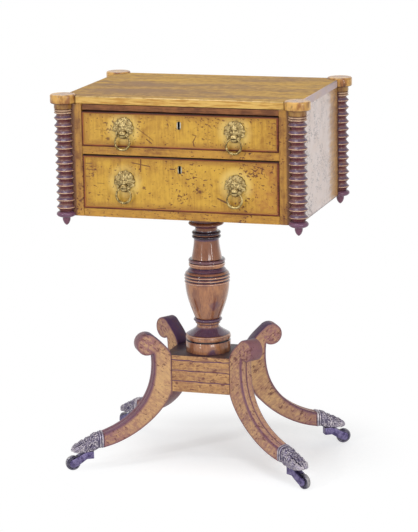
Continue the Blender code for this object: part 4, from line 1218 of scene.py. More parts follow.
@dataclass
class Profile:
    """An outline for turning, from the top down: radius, height, and shade from 0 plain to 1 dark."""

    rows: list[tuple[float, float, float]] = field(default_factory=list)

    def to(self, radius: float, height: float, shade: float = 0.0) -> Profile:
        """Add a point."""
        self.rows.append((radius, height, shade))
        return self

    def bead(self, top: float, height: float, base: float, crest: float, shade: float = 0.0, edge: float = 1.0,
             steps: int = 12) -> Profile:
        """Add a half-round bead.

        Args:
            top: height of its upper edge.
            height: its height.
            base: radius at its edges.
            crest: radius at its middle.
            shade: shade of the crest.
            edge: shade of the edges.
            steps: steps round it.

        Returns:
            The profile itself.
        """
        for index in range(steps + 1):
            angle = math.pi * index / steps
            rise = math.sin(angle)
            self.to(base + (crest - base) * rise, top - height * (1 - math.cos(angle)) / 2,
                    edge + (shade - edge) * min(1.0, 1.7 * rise))
        return self

    def ease(self, start: Place, end: Place, bow: float, steps: int = 14) -> Profile:
        """Add a curve between two (radius, height, shade) points.

        Args:
            start: where it begins.
            end: where it ends.
            bow: how the radius changes: above 1 late, under 1 early.
            steps: steps along it.

        Returns:
            The profile itself.
        """
        for index in range(steps + 1):
            share = index / steps
            bent = share ** bow
            self.to(start[0] + (end[0] - start[0]) * bent, start[1] + (end[1] - start[1]) * share,
                    start[2] + (end[2] - start[2]) * share)
        return self

    def mesh(self) -> Mesh:
        """Give the outline as points with their shade, without repeats.

        Returns:
            The points.
        """
        kept = [self.rows[0]]
        for row in self.rows[1:]:
            if math.dist(row[:2], kept[-1][:2]) > 1e-5:
                kept.append(row)
        return point_mesh([(r, 0.0, z) for r, z, _ in kept], shade=[s for _, _, s in kept])


@dataclass
class Shop:
    """What the sub-assemblies share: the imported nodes, the finishes and the three geometry trees."""

    frame: dict
    woods: dict[str, Material]
    brasses: dict[str, Material]
    turned: TurnedForm = field(default_factory=TurnedForm)
    swept: SweptForm = field(default_factory=SweptForm)
    repeated: RepeatedForm = field(default_factory=RepeatedForm)

    def keep(self, finish: Material, *names: str) -> None:
        """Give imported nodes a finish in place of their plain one.

        Args:
            finish: the material.
            names: the nodes.
        """
        for name in names:
            for slot in self.frame["nodes"][name].material_slots:
                slot.material = finish
            LOG.info("%s: kept, finish %s", name, finish.name)

    def turning(self, profile: Profile, segments: int, finish: Material, crease: float = 40.0) -> Mesh:
        """Give a turned piece as a closed mesh."""
        mesh = self.turned.run(profile.mesh(), Segments=segments, Finish=finish)
        return creased(sealed(mesh), crease)

    def moulding(self, path: np.ndarray, across: np.ndarray, up: np.ndarray, section: np.ndarray,
                 finish: Material, fill: bool = False) -> Mesh:
        """Give a section swept along a path.

        Args:
            path: points of the path; a closed path repeats its first.
            across: which way the section's first coordinate lies at each point.
            up: which way its second lies.
            section: points of the section; a closed section repeats its first.
            finish: its material.
            fill: whether open ends get a face.

        Returns:
            The closed mesh.
        """
        flat = np.column_stack([section, np.zeros(len(section))])
        mesh = self.swept.run(point_mesh(path, across=across, up=up), Section=point_mesh(flat), Finish=finish)
        return sealed(mesh, fill)

    def plate(self, outline: np.ndarray, half: float, edge: float, finish: Material, fill: bool = False) -> Mesh:
        """Give the rim of a plate with rounded edges.

        Args:
            outline: the plate's (x, z) points.
            half: half its thickness.
            edge: radius of its edges.
            finish: its material.
            fill: whether its two faces are filled in.

        Returns:
            The mesh.
        """
        loop = np.concatenate([outline, outline[:1]])
        lean = -side_normals(outline, True)
        lean = np.concatenate([lean, lean[:1]])
        bend = edge * 0.3
        section = np.array([(edge, -half), (bend, bend - half), (0.0, edge - half), (0.0, half - edge),
                            (bend, half - bend), (edge, half)])
        up = np.tile((0.0, 1.0, 0.0), (len(loop), 1))
        return self.moulding(upright(loop), upright(lean), up, section, finish, fill)

    def repeats(self, unit: Mesh, places: list[Place], turns: list[Place], sizes: list[Place], finish: Material,
                chance: float = 0.0, seed: int = 1) -> Mesh:
        """Give copies of a unit, each placed, turned and sized, with a little chance in the sizes."""
        points = point_mesh(places, turn=turns, grow=sizes)
        return self.repeated.run(points, Unit=unit, Chance=chance, Seed=seed, Finish=finish)


@dataclass
class TableTop:
    """The top board, notched round the column heads, with its upper edge rounded."""

    shop: Shop
    overhang: float = 0.0015
    notch: float = 0.0241
    edge: float = 0.0022
    lower_edge: float = 0.0006
    arc_steps: int = 20
    edge_steps: int = 5

    def outline(self, inset: float, height: float) -> np.ndarray:
        """Give the board's outline at one level.

        Args:
            inset: how far it is set in.
            height: how high the level is.

        Returns:
            Its points.
        """
        lean = math.asin((self.overhang - inset) / self.notch)
        points = []
        centres = ((COLUMN_X, -COLUMN_Y), (COLUMN_X, COLUMN_Y), (-COLUMN_X, COLUMN_Y), (-COLUMN_X, -COLUMN_Y))
        for quarter, centre in enumerate(centres):
            for step in range(self.arc_steps + 1):
                angle = math.pi + lean - (QUARTER + 2 * lean) * step / self.arc_steps + quarter * QUARTER
                points.append((centre[0] + self.notch * math.cos(angle),
                               centre[1] + self.notch * math.sin(angle), height))
        return np.array(points)

    def build(self) -> None:
        """Make the board."""
        low, high = (corner[2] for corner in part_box("top_board"))
        levels = [self.outline(self.lower_edge, low), self.outline(0.0, low + self.lower_edge)]
        for step in range(self.edge_steps + 1):
            angle = QUARTER * step / self.edge_steps
            levels.append(self.outline(self.edge * (1 - math.cos(angle)), high - self.edge * (1 - math.sin(angle))))
        add_piece("table_top", soften(layered(levels)), self.shop.woods["top"], "root", "top_maple", "top_board")


@dataclass
class Carcase:
    """Sides, stiles, rails, back and bottom of the case."""

    shop: Shop
    edge: float = 0.0008

    def build(self) -> None:
        """Make the boards of the case and dress what stays inside it."""
        wood = self.shop.woods
        boards = {
            "left_side": "side", "right_side": "faded_side", "front_left_stile": "stile",
            "front_right_stile": "stile", "front_top_rail": "red_rail", "front_middle_rail": "rail",
            "front_bottom_rail": "rail", "back_panel": "back", "bottom_board": "bottom"}
        slots = {"red_rail": "red_rail", "back": "inside_pine", "bottom": "inside_pine"}
        for node, finish in boards.items():
            slot = slots.get(finish, "figured_maple")
            add_piece(f"{node}_board", soft_block(*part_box(node), self.edge), wood[finish], "root", slot, node)
        self.shop.keep(wood["runner"], "left_drawer_guide", "right_drawer_guide")


# share of a ring's pitch below its upper edge, rise from valley to crest, shade: 0 the painted lit upper slope, 0.5 the
# painted shaded lower slope, 0.8 a small painted highlight line near the valley, 1 the crest's wear and painted
# highlight
RING_ROWS = (
    (0.0, 0.0, 0.5), (0.05, 0.03, 0.5), (0.09, 0.15, 0.8), (0.13, 0.21, 0.8), (0.16, 0.21, 0.2), (0.24, 0.38, 0.0),
    (0.40, 0.80, 0.0), (0.45, 0.94, 0.5), (0.48, 0.99, 0.95), (0.5, 1.0, 1.0), (0.535, 0.975, 0.95),
    (0.565, 0.92, 0.6), (0.60, 0.82, 0.5), (0.75, 0.44, 0.5), (0.88, 0.12, 0.5), (0.95, 0.02, 0.5))
# share of the finial's drop, share of its radius
FINIAL_ROWS = ((0.10, 0.96), (0.24, 0.99), (0.42, 0.92), (0.60, 0.78), (0.76, 0.60), (0.90, 0.36), (0.97, 0.18),
               (1.0, 0.0))


@dataclass
class RingColumn:
    """A three-quarter column: head, collar, sharp rings, a round last ring and a drop finial."""

    shop: Shop
    top: float = 0.7300
    head: float = 0.0238
    head_edge: float = 0.0028
    collar: float = 0.0170
    collar_low: float = 0.7030
    neck: float = 0.0135
    neck_ring: float = 0.0172
    rings: int = 13
    rings_top: float = 0.6926
    crest: float = 0.0176
    valley: float = 0.0125
    last: float = 0.0184
    last_low: float = 0.4982
    finial: float = 0.0076
    tip: float = 0.4827
    case_low: float = 0.5009
    gap: float = 0.0003             # between the column and the case's corner
    crease: float = 40.0
    head_steps: int = 6
    segments: int = 48

    def profile(self) -> Profile:
        """Give the column's outline.

        Returns:
            The outline, from the top of the head to the finial's tip.
        """
        profile = Profile().to(0.0, self.top).to(self.head * 0.80, self.top - 0.0001)
        for height, way in ((self.top, 1), (HEAD_LOW, -1)):
            for step in range(self.head_steps + 1)[::way]:
                angle = QUARTER * step / self.head_steps
                profile.to(self.head - self.head_edge * (1 - math.sin(angle)),
                           height - way * self.head_edge * (1 - math.cos(angle)))
        profile.to(self.collar + 0.0006, HEAD_LOW, 0.4).to(self.collar, HEAD_LOW - 0.0008)
        profile.to(self.collar, self.collar_low + 0.0008).to(self.collar - 0.0008, self.collar_low, 0.5)
        profile.to(self.neck, self.collar_low - 0.0001, 0.5)
        neck = self.collar_low - self.rings_top
        # the neck beads' crests get the same wear and painted highlight
        for share in (0.06, 0.48):
            profile.bead(self.collar_low - share * neck, 0.40 * neck, self.neck, self.neck_ring, 0.85, 0.4, 8)
        profile.to(self.neck, self.rings_top + 0.06 * neck, 0.5)
        pitch = (self.rings_top - LAST_RING_TOP) / self.rings
        for ring in range(self.rings):
            top = self.rings_top - ring * pitch
            for share, rise, shade in RING_ROWS:
                profile.to(self.valley + (self.crest - self.valley) * rise, top - share * pitch, shade)
        profile.to(self.valley, LAST_RING_TOP, 0.5)
        profile.bead(LAST_RING_TOP, LAST_RING_TOP - self.last_low, self.finial, self.last, 0.2, 0.5, 14)
        drop = self.last_low - self.tip
        for share, width in FINIAL_ROWS:
            profile.to(self.finial * width, self.last_low - drop * share, 0.5)
        return profile

    def build(self) -> None:
        """Make the four columns."""
        finish, reach = self.shop.woods["column"], 2 * self.head
        corner = soft_block((-reach, -reach, self.case_low), (self.gap, self.gap, HEAD_LOW), TINY)
        column = carved(self.shop.turning(self.profile(), self.segments, finish, self.crease), corner)
        column = creased(sealed(column), self.crease)
        for spot in Corner:
            label, side_x, side_y, quarters = spot.value
            mesh = turned_copy(column, quarters * QUARTER, (side_x * COLUMN_X, side_y * COLUMN_Y, 0.0))
            add_piece(f"{label}_ring_column", mesh, finish, "root", "dark_turning", f"{label}_column")


@dataclass
class DrawerUnit:
    """One drawer: its front, cockbead, box, dovetails and lock."""

    shop: Shop
    label: str
    front_y: float = -0.153
    bead_width: float = 0.0045
    bead_depth: float = 0.011
    bead_rise: float = 0.0018
    bead_shoulder: float = 0.0004
    tails: int = 4
    tail_length: float = 0.0062
    tail_margin: float = 0.003      # above and below the row of tails
    tail_wide: Pair = (0.40, 0.26)  # half a tail's height at its two ends, as a share of the pitch
    tail_proud: float = 0.00018
    tail_lap: float = 0.0003        # how far the tails reach past the front's inner face

    def build(self) -> None:
        """Make the bead and the dovetails, and dress the rest."""
        body, wood = f"{self.label}_drawer", self.shop.woods
        self.shop.keep(wood[f"{self.label}_front"], f"{body}_front")
        self.shop.keep(wood["drawer_side"], f"{body}_left_side", f"{body}_right_side")
        self.shop.keep(wood["drawer_bottom"], f"{body}_back", f"{body}_bottom")
        self.shop.keep(self.shop.brasses["lock"], f"{body}_lock")
        self.build_bead(body, wood["bead"])
        self.build_dovetails(body, wood["tail"])

    def build_bead(self, body: str, finish: Material) -> None:
        """Make the half-round bead with its mitres.

        Args:
            body: the drawer's body.
            finish: the bead's material.
        """
        low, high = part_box(f"{body}_cockbead")
        corners = [(low[0], low[2], 1, 1), (high[0], low[2], -1, 1), (high[0], high[2], -1, -1),
                   (low[0], high[2], 1, -1), (low[0], low[2], 1, 1)]
        path = np.array([(x, self.front_y, z) for x, z, _, _ in corners])
        across = np.array([(right, 0.0, up) for _, _, right, up in corners])
        section = [(0.0, self.bead_depth)]
        steps = 10
        for step in range(steps + 1):
            angle = math.pi * step / steps
            section.append((self.bead_width * (1 - math.cos(angle)) / 2,
                            -self.bead_shoulder - (self.bead_rise - self.bead_shoulder) * math.sin(angle)))
        section += [(self.bead_width, self.bead_depth), (0.0, self.bead_depth)]
        up = np.tile((0.0, 1.0, 0.0), (len(path), 1))
        mesh = self.shop.moulding(path, across, up, np.array(section), finish)
        spots = coordinates(mesh)
        inset = np.minimum(np.minimum(spots[:, 0] - low[0], high[0] - spots[:, 0]),
                           np.minimum(spots[:, 2] - low[2], high[2] - spots[:, 2]))
        set_values(mesh, "shade", np.clip(1.2 - inset / (0.95 * self.bead_width), 0.0, 1.0))
        add_piece(f"{body}_bead", creased(mesh, 50.0), finish, body, "dark_bead", f"{body}_cockbead")

    def build_dovetails(self, body: str, finish: Material) -> None:
        """Make the tails that lap the ends of the front, on both sides.

        Args:
            body: the drawer's body.
            finish: the tails' material.
        """
        low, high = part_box(f"{body}_front")
        pitch = (high[2] - low[2] - 2 * self.tail_margin) / self.tails
        half, narrow = (pitch * share for share in self.tail_wide)
        back = high[1] + self.tail_lap
        outline = [(back - self.tail_length, -half), (back, -narrow), (back, narrow), (back - self.tail_length, half)]
        unit = layered([np.array([(x, y, z) for y, z in outline]) for x in (-self.tail_proud, self.tail_proud)])
        places = [(side, 0.0, low[2] + self.tail_margin + pitch * (tail + 0.5))
                  for side in (low[0], high[0]) for tail in range(self.tails)]
        turns, sizes = [(0.0, 0.0, 0.0)] * len(places), [(1.0, 1.0, 1.0)] * len(places)
        mesh = sealed(self.shop.repeats(unit, places, turns, sizes, finish))
        add_piece(f"{body}_dovetails", mesh, finish, body, "inside_pine")


# humps of the lion's face in mm: middle to the right and up, half width, half height, rise
MIDDLE_HUMPS = ((0.0, 9.4, 4.5, 2.6, 0.9), (0.0, 0.4, 1.5, 5.0, 1.5), (0.0, -3.4, 2.5, 1.5, 2.2))
SIDE_HUMPS = (
    (4.4, 5.9, 2.9, 1.1, 1.6), (4.3, 3.3, 1.9, 1.2, -2.0), (4.3, 3.2, 0.9, 0.7, 1.3), (6.9, -1.0, 2.1, 2.4, 1.3),
    (1.4, -4.4, 0.6, 0.5, -0.9), (9.8, 9.6, 2.0, 2.0, 2.4), (9.8, 9.8, 0.9, 0.9, -1.4), (2.2, 10.6, 0.5, 2.2, -0.6))
# height and radius of a lock of the mane
LOCK_ROWS = ((1.0, 0.0), (0.92, 0.10), (0.70, 0.22), (0.40, 0.30), (0.12, 0.27), (-0.02, 0.15), (-0.06, 0.0))
# how many locks, distance from the middle, length of each
MANE_ROWS = ((19, 0.0140, 0.0074), (15, 0.0106, 0.0066))


@dataclass
class LionPull:
    """A lion mask in relief with a ring through its mouth."""

    shop: Shop
    radius: float = 0.0208
    rim: float = 0.0012
    mouth_drop: float = 0.0104
    standoff: float = 0.0092
    muzzle: Place = (0.0080, 0.0064, 0.0074)
    ring_radius: float = 0.0142
    tube: float = 0.0016
    swell: float = 0.5          # how much thicker the ring is at its bottom than in the mouth
    low_side: float = -0.9
    clearance: float = 0.0005
    front_y: float = -0.1533
    tunnel_reach: float = 0.0115
    mane_rise: float = 0.0005           # of the mane's middle above the mask's
    muzzle_bare: Pair = (0.0106, -0.0045)   # half width and top of what has no locks
    lock_root: Pair = (0.0060, 0.0003)  # most height at which a lock starts, and how deep it is let in
    lock_sweep: Pair = (-0.3, 0.5)      # how far even and odd locks swing round
    lock_lean: float = 0.16
    mane_chance: float = 0.12
    mane_seed: int = 7
    sectors: int = 144
    rings: int = 46

    def relief(self, u: np.ndarray, v: np.ndarray) -> np.ndarray:
        """Give the height of the mask above the drawer front.

        Args:
            u: places to the right of its middle, in millimetres.
            v: places above its middle, in millimetres.

        Returns:
            Heights in millimetres.
        """
        def hump(middle_u: float, middle_v: float, wide: float, tall: float, height: float) -> np.ndarray:
            """Give a soft hump, or a hollow where its rise is negative."""
            return height * np.exp(-((u - middle_u) / wide) ** 2 - ((v - middle_v) / tall) ** 2)

        size = self.radius * 1000
        out = np.hypot(u, v) / size
        angle = np.arctan2(v, u)
        dome = 5.6 * np.sqrt(np.clip(1.0 - out ** 2, 0.0, 1.0)) + 0.5
        locks = np.abs(np.sin(8.0 * angle + 5.0 * out)) ** 0.7 + 0.5 * np.abs(np.sin(17.0 * angle - 9.0 * out))
        mane = dome + 0.85 * (locks - 0.9) * np.clip((out - 0.45) / 0.2, 0.0, 1.0) * np.clip((1.02 - out) / 0.12, 0, 1)
        face = 9.4 * np.sqrt(np.clip(1.0 - (u / 10.6) ** 2 - ((v - 2.0) / 13.0) ** 2, 0.0, 1.0))
        height = np.maximum(mane, face)
        for row in MIDDLE_HUMPS:
            height = height + hump(*row)
        for side in (-1, 1):
            for row in SIDE_HUMPS:
                height = height + hump(side * row[0], *row[1:])
        wide, deep, tall = (value * 1000 for value in self.muzzle)
        drop = self.mouth_drop * 1000
        snout = self.standoff * 1000 + deep * np.sqrt(np.clip(1 - (u / wide) ** 2 - ((v + drop) / tall) ** 2, 0, 1))
        snout = np.where((u / wide) ** 2 + ((v + drop) / tall) ** 2 < 1.0, snout - 1.2, 0.0)
        for side in (-1, 1):
            snout = snout + np.where(snout > 0, hump(side * 3.3, -7.4, 2.3, 2.2, 1.1), 0.0)
        snout = snout - np.where(snout > 0, hump(0.0, -11.6, 6.0, 0.8, 2.6) + hump(0.0, -7.6, 0.5, 2.6, 0.8), 0.0)
        return np.maximum(height, snout)

    def plate(self) -> Mesh:
        """Give the mask's closed relief at the origin, facing -Y.

        Returns:
            The mesh, with its painted shade in the hollows and at the rim marked.
        """
        angles = np.arange(self.sectors) * math.tau / self.sectors
        down = np.clip(-np.sin(angles), 0.0, 1.0)
        ragged = 0.065 * (1.0 - np.abs(np.sin(7.5 * angles + 0.6))) ** 1.3 + 0.03 * np.sin(3.0 * angles + 1.0)
        scallop = self.radius * (0.98 - ragged * (1.0 - down) - 1.05 * down ** 1.5 * (1.0 - down))
        levels, heights = [], []
        for ring in range(1, self.rings + 1):
            share = (ring / self.rings) ** 0.92
            x, z = share * scallop * np.cos(angles), share * scallop * np.sin(angles)
            height = self.relief(x * 1000, z * 1000) / 1000
            if ring == self.rings:
                height = np.full_like(height, self.rim)
            heights.append(height)
            levels.append(np.column_stack([x, -height, z]))
        edge = levels[-1].copy()
        edge[:, 1] = 0.0
        mesh = layered([*levels, edge])
        surface = np.array(heights)
        soft = surface.copy()
        for _ in range(7):
            padded = np.pad(soft, ((1, 1), (0, 0)), mode="edge")
            soft = (soft + padded[:-2] + padded[2:] + np.roll(soft, 1, 1) + np.roll(soft, -1, 1)) / 5
        # painted shade: darker where the relief is hollow, and at the rim where the mask meets the front
        hollow = np.clip(0.35 + (soft - surface) / 0.0009, 0.0, 1.0)
        marks = np.concatenate([hollow.ravel(), np.full(self.sectors, 0.8)])
        set_values(mesh, "hollow", marks[:len(mesh.vertices)])
        return mesh

    def tunnel(self) -> Profile:
        """Give the way through the muzzle, waisted so that the ring can swing.

        Returns:
            Its outline.
        """
        reach, steps = self.tunnel_reach, 10
        profile = Profile().to(0.0, reach)
        for step in range(steps + 1):
            x = reach * (1 - 2 * step / steps)
            drop = self.ring_radius - math.sqrt(self.ring_radius ** 2 - x * x)
            profile.to(drop + self.tube + self.clearance, x)
        return profile.to(0.0, -reach)

    def mane(self, finish: Material) -> Mesh:
        """Give the locks of the mane, in two rows round the face.

        Args:
            finish: the mask's material.

        Returns:
            The mesh, with its painted shade between the locks marked.
        """
        lock = Profile([(radius, height, 0.0) for height, radius in LOCK_ROWS])
        unit = self.shop.turning(lock, 8, finish, 80.0)
        unit.transform(Matrix.Rotation(QUARTER, 4, "Y"))
        for vertex in unit.vertices:
            vertex.co.y += 0.22 * vertex.co.x ** 2
            vertex.co.z *= 0.85
        places, turns, sizes = [], [], []
        for row, (count, distance, length) in enumerate(MANE_ROWS):
            for index in range(count):
                angle = math.tau * (index + 0.5 * row) / count + 0.1
                u, v = distance * math.cos(angle), distance * math.sin(angle) + self.mane_rise
                if v < self.muzzle_bare[1] and abs(u) < self.muzzle_bare[0]:
                    continue
                height = float(self.relief(np.array([u * 1000]), np.array([v * 1000]))[0]) / 1000
                places.append((u, -min(height, self.lock_root[0]) + self.lock_root[1], v))
                lean = angle + self.lock_sweep[index % 2]
                out = Vector((math.cos(lean), self.lock_lean, math.sin(lean))).normalized()
                side = Vector((0, -1, 0)).cross(out).normalized()
                turns.append(tuple(Matrix((out, side, out.cross(side))).transposed().to_euler()))
                sizes.append((length, length, length * 0.8))
        mesh = self.shop.repeats(unit, places, turns, sizes, finish, self.mane_chance, self.mane_seed)
        mesh = creased(sealed(mesh), 80.0)
        depth = coordinates(mesh)[:, 1]
        # painted shade: darker the deeper a point lies between the locks
        set_values(mesh, "hollow", np.clip((depth + 0.0046) / 0.0020, 0.0, 0.75))
        return mesh

    def mask(self, finish: Material) -> Mesh:
        """Give the whole mask at the origin.

        Args:
            finish: its material.

        Returns:
            The mesh.
        """
        tunnel = self.shop.turning(self.tunnel(), 24, finish)
        mouth = Matrix.Translation((0, -self.standoff, -self.mouth_drop))
        tunnel.transform(mouth @ Matrix.Rotation(QUARTER, 4, "Y"))
        return merged(creased(sealed(carved(self.plate(), tunnel)), 60.0), self.mane(finish))

    def hoop(self, finish: Material) -> Mesh:
        """Give the ring, hanging from the origin and thicker at its bottom.

        Args:
            finish: its material.

        Returns:
            The mesh.
        """
        hoop = Profile()
        around = 20
        for step in range(around + 1):
            angle = math.tau * step / around
            hoop.to(self.ring_radius + self.tube * math.cos(angle), self.tube * math.sin(angle))
        ring = self.shop.turning(hoop, 72, finish, 80.0)
        for vertex in ring.vertices:
            spine = Vector((vertex.co.x, vertex.co.y, 0.0)).normalized()
            low = min(1.0, max(0.0, 0.5 + spine.y * self.low_side))
            spine *= self.ring_radius
            vertex.co = spine + (vertex.co - spine) * (1.0 + self.swell * low)
        ring.transform(Matrix.Translation((0, 0, -self.ring_radius)) @ Matrix.Rotation(QUARTER, 4, "X"))
        return ring

    def build(self) -> None:
        """Make the four masks and their rings."""
        finish, ring_finish = self.shop.brasses["mount"], self.shop.brasses["ring"]
        mask, ring = self.mask(finish), self.hoop(ring_finish)
        for level, height in MASK_HEIGHTS.items():
            for side, sign in (("left", -1), ("right", 1)):
                place = Vector((sign * MASK_X, self.front_y, height))
                add_piece(f"{level}_{side}_mask", turned_copy(mask, 0.0, place), finish, f"{level}_drawer",
                          "mount_brass", f"{level}_{side}_lion_mask")
                place += Vector((0, -self.standoff, -self.mouth_drop))
                add_piece(f"{level}_{side}_ring_hoop", turned_copy(ring, 0.0, place), ring_finish,
                          f"{level}_{side}_ring", "mount_brass", f"{level}_{side}_ring_pull")


# radius, share of the pitch below the upper edge, and shade of a ring round the pedestal's vase; a negative shade
# paints the crest pale as wear and a painted highlight
VASE_RING = ((0.0412, 0.0, 1.0), (0.0414, 0.14, 1.0), (0.0424, 0.28, 0.5), (0.0433, 0.48, 0.2), (0.0438, 0.66, -0.6),
             (0.0435, 0.82, 0.0), (0.0424, 0.96, 0.6))


@dataclass
class Baluster:
    """The turned pedestal."""

    shop: Shop
    top: float = 0.5024
    foot: float = 0.2148
    beads: float = 0.3682
    bead_pitch: float = 0.0060
    bead_count: int = 3
    vase: Pair = (0.0424, 0.0245)   # the vase's radius at its top and at its bottom
    vase_low: float = 0.2805
    vase_steps: int = 24
    flare: Pair = (0.0212, 0.2664)  # radius and height at which the flare above the plinth begins
    flare_steps: int = 13
    tenon: Pair = (0.016, 0.035)    # radius and length
    segments: int = 64

    def profile(self) -> Profile:
        """Give the pedestal's outline, with radii and heights measured in the photo.

        Returns:
            The outline, from its plate to its plinth, with the tenon below.
        """
        profile = Profile().to(0.0, self.top).to(0.0510, self.top).to(0.0520, self.top - 0.0010)
        profile.to(0.0520, 0.4934).to(0.0510, 0.4924, 0.3).to(0.0342, 0.4922, 0.5)
        profile.ease((0.0330, 0.4915, 0.2), (0.0268, 0.4701, 0.25), 0.45)
        profile.to(0.0270, 0.4695, 0.8).bead(0.4695, 0.0075, 0.0272, 0.0342, 0.0, 0.7)
        profile.ease((0.0262, 0.4618, 0.7), (0.0215, 0.4572, 0.1), 0.6, 6)
        profile.to(0.0217, 0.4530, 0.1).to(0.0222, 0.4508, 0.9)
        profile.bead(0.4505, 0.0060, 0.0245, 0.0279, 0.85, 1.0).to(0.0256, 0.4443, 0.0).to(0.0256, 0.4430, 0.0)
        profile.bead(0.4428, 0.0060, 0.0245, 0.0279, 0.85, 1.0)
        profile.ease((0.0241, 0.4366, 0.7), (0.0241, 0.4325, 0.22), 1.0, 4)
        profile.ease((0.0243, 0.4300, 0.22), (0.0294, 0.3973, 0.14), 1.3, 10).to(0.0296, 0.3970, 1.0)
        profile.bead(0.3968, 0.0070, 0.0325, 0.0354, 0.40, 1.0, 8).to(0.0336, 0.3896, 1.0)
        # a shade of -0.6 paints a pale line of wear and painted highlight
        profile.to(0.0345, 0.3892, 0.3).to(0.0349, 0.3877, -0.6).to(0.0349, 0.3864).to(0.0349, 0.3838)
        profile.to(0.0340, 0.3815, 0.2).to(0.0318, 0.3800, 0.9).to(0.0326, 0.3790, 0.6).to(0.0345, 0.3777, 0.45)
        profile.to(0.0360, 0.3761, 0.45).to(0.0370, 0.3743, 0.5).to(0.0374, 0.3735, 1.0)
        profile.to(0.0386, 0.3724, 0.35).to(0.0407, 0.3706, 0.25).to(0.0420, 0.3690, 0.25)
        for ring in range(self.bead_count):
            for radius, share, shade in VASE_RING:
                profile.to(radius, self.beads - ring * self.bead_pitch - share * self.bead_pitch, shade)
        vase, (full, slim) = self.beads - self.bead_count * self.bead_pitch, self.vase
        for step in range(self.vase_steps + 1):
            share = step / self.vase_steps
            radius = slim + (full - slim) * math.cos(share * QUARTER) ** 1.05
            profile.to(radius, vase - share * (vase - self.vase_low))
        profile.bead(0.2800, 0.0062, 0.0235, 0.0276, 0.5, 1.0, 10).bead(0.2736, 0.0046, 0.0222, 0.0242, 0.2, 0.9, 8)
        radius, height = self.flare
        profile.ease((radius, 0.2686, 0.8), (radius, height, 0.0), 1.0, 3)
        for step in range(1, self.flare_steps + 1):
            share = step / self.flare_steps
            profile.to(radius + 0.0180 * (1 - math.cos(share * QUARTER)), height - share * 0.0160,
                       min(0.50, 1.5 * share))
        # a shade of -0.6 paints a pale line of wear and painted highlight
        profile.to(0.0398, 0.2498, 1.0).ease((0.0412, 0.2492, 0.2), (0.0430, 0.2472, -0.6), 0.6, 5)
        profile.to(0.0430, 0.2468, 1.0).bead(0.2466, 0.0073, 0.0422, 0.0437, 0.0, 0.4, 8)
        profile.to(0.0405, 0.2391, 1.0).to(0.0405, 0.2369, 1.0).to(0.0427, 0.2366, 0.8).to(0.0434, 0.2358)
        profile.to(0.0434, 0.2158).to(0.0428, self.foot, 0.7)
        radius, length = self.tenon
        return profile.to(radius, self.foot).to(radius, self.foot - length).to(0.0, self.foot - length)

    def build(self) -> None:
        """Make the pedestal."""
        finish = self.shop.woods["pedestal"]
        mesh = self.shop.turning(self.profile(), self.segments, finish, 46.0)
        add_piece("turned_pedestal", mesh, finish, "root", "pedestal_maple", "pedestal")


@dataclass
class Platform:
    """The eight-sided block between the legs, with three shrinkage lines round it."""

    shop: Shop
    seat: float = 0.0772
    edge: float = 0.0010
    lines: tuple[float, ...] = (0.2055, 0.1845, 0.1635)
    line_depth: float = 0.0009
    line_wave: float = 0.0022
    steps: int = 10

    def corners(self) -> np.ndarray:
        """Give the eight corners, counter-clockwise.

        Returns:
            Their (x, y) places.
        """
        cosine, sine = math.cos(LEG_ANGLE), math.sin(LEG_ANGLE)
        side = (self.seat * cosine + LEG_HALF * sine, self.seat * sine - LEG_HALF * cosine)
        front = (self.seat * cosine - LEG_HALF * sine, self.seat * sine + LEG_HALF * cosine)
        points = []
        for sign_x, sign_y in ((1, 1), (-1, 1), (-1, -1), (1, -1)):
            pair = [(sign_x * x, sign_y * y) for x, y in (side, front)]
            points += pair if sign_x * sign_y > 0 else pair[::-1]
        return np.array(points)

    def outline(self, inset: float, height: float, wave: float = 0.0) -> np.ndarray:
        """Give the outline at one level.

        Args:
            inset: how far it is set in.
            height: how high the level is.
            wave: how much its height differs along the faces.

        Returns:
            Its points.
        """
        points = []
        corners = self.corners()
        for index, corner in enumerate(corners):
            following = corners[(index + 1) % len(corners)]
            for step in range(self.steps):
                x, y = corner + (following - corner) * step / self.steps
                shrink = 1.0 - inset / math.hypot(x, y)
                lift = wave * noise.noise(Vector((x * 55, y * 55, height * 90)))
                points.append((x * shrink, y * shrink, height + lift))
        return np.array(points)

    def build(self) -> None:
        """Make the platform."""
        bend = self.edge * 0.3
        levels = [self.outline(self.edge, PLATFORM_LOW), self.outline(bend, PLATFORM_LOW + bend),
                  self.outline(0.0, PLATFORM_LOW + self.edge)]
        # shade of each level: painted shade on the rounded edges and in the shrinkage lines
        shades = [0.3, 0.3, 0.0]
        for height in self.lines[::-1]:
            for lift, inset, shade in ((-0.0016, 0.0, 0.0), (-0.0008, 0.0002, 0.9), (0.0, self.line_depth, 1.6),
                                       (0.0008, 0.0002, 0.9), (0.0016, 0.0, 0.0)):
                levels.append(self.outline(inset, height + lift, self.line_wave))
                shades.append(shade)
        levels += [self.outline(0.0, PLATFORM_TOP - self.edge), self.outline(bend, PLATFORM_TOP - bend),
                   self.outline(self.edge, PLATFORM_TOP)]
        shades += [0.0, 0.2, 0.3]
        mesh = creased(layered(levels), 30.0)
        set_values(mesh, "shade", np.repeat(shades, len(levels[0])))
        add_piece("leg_platform", mesh, self.shop.woods["platform"], "root", "leg_maple", "platform")


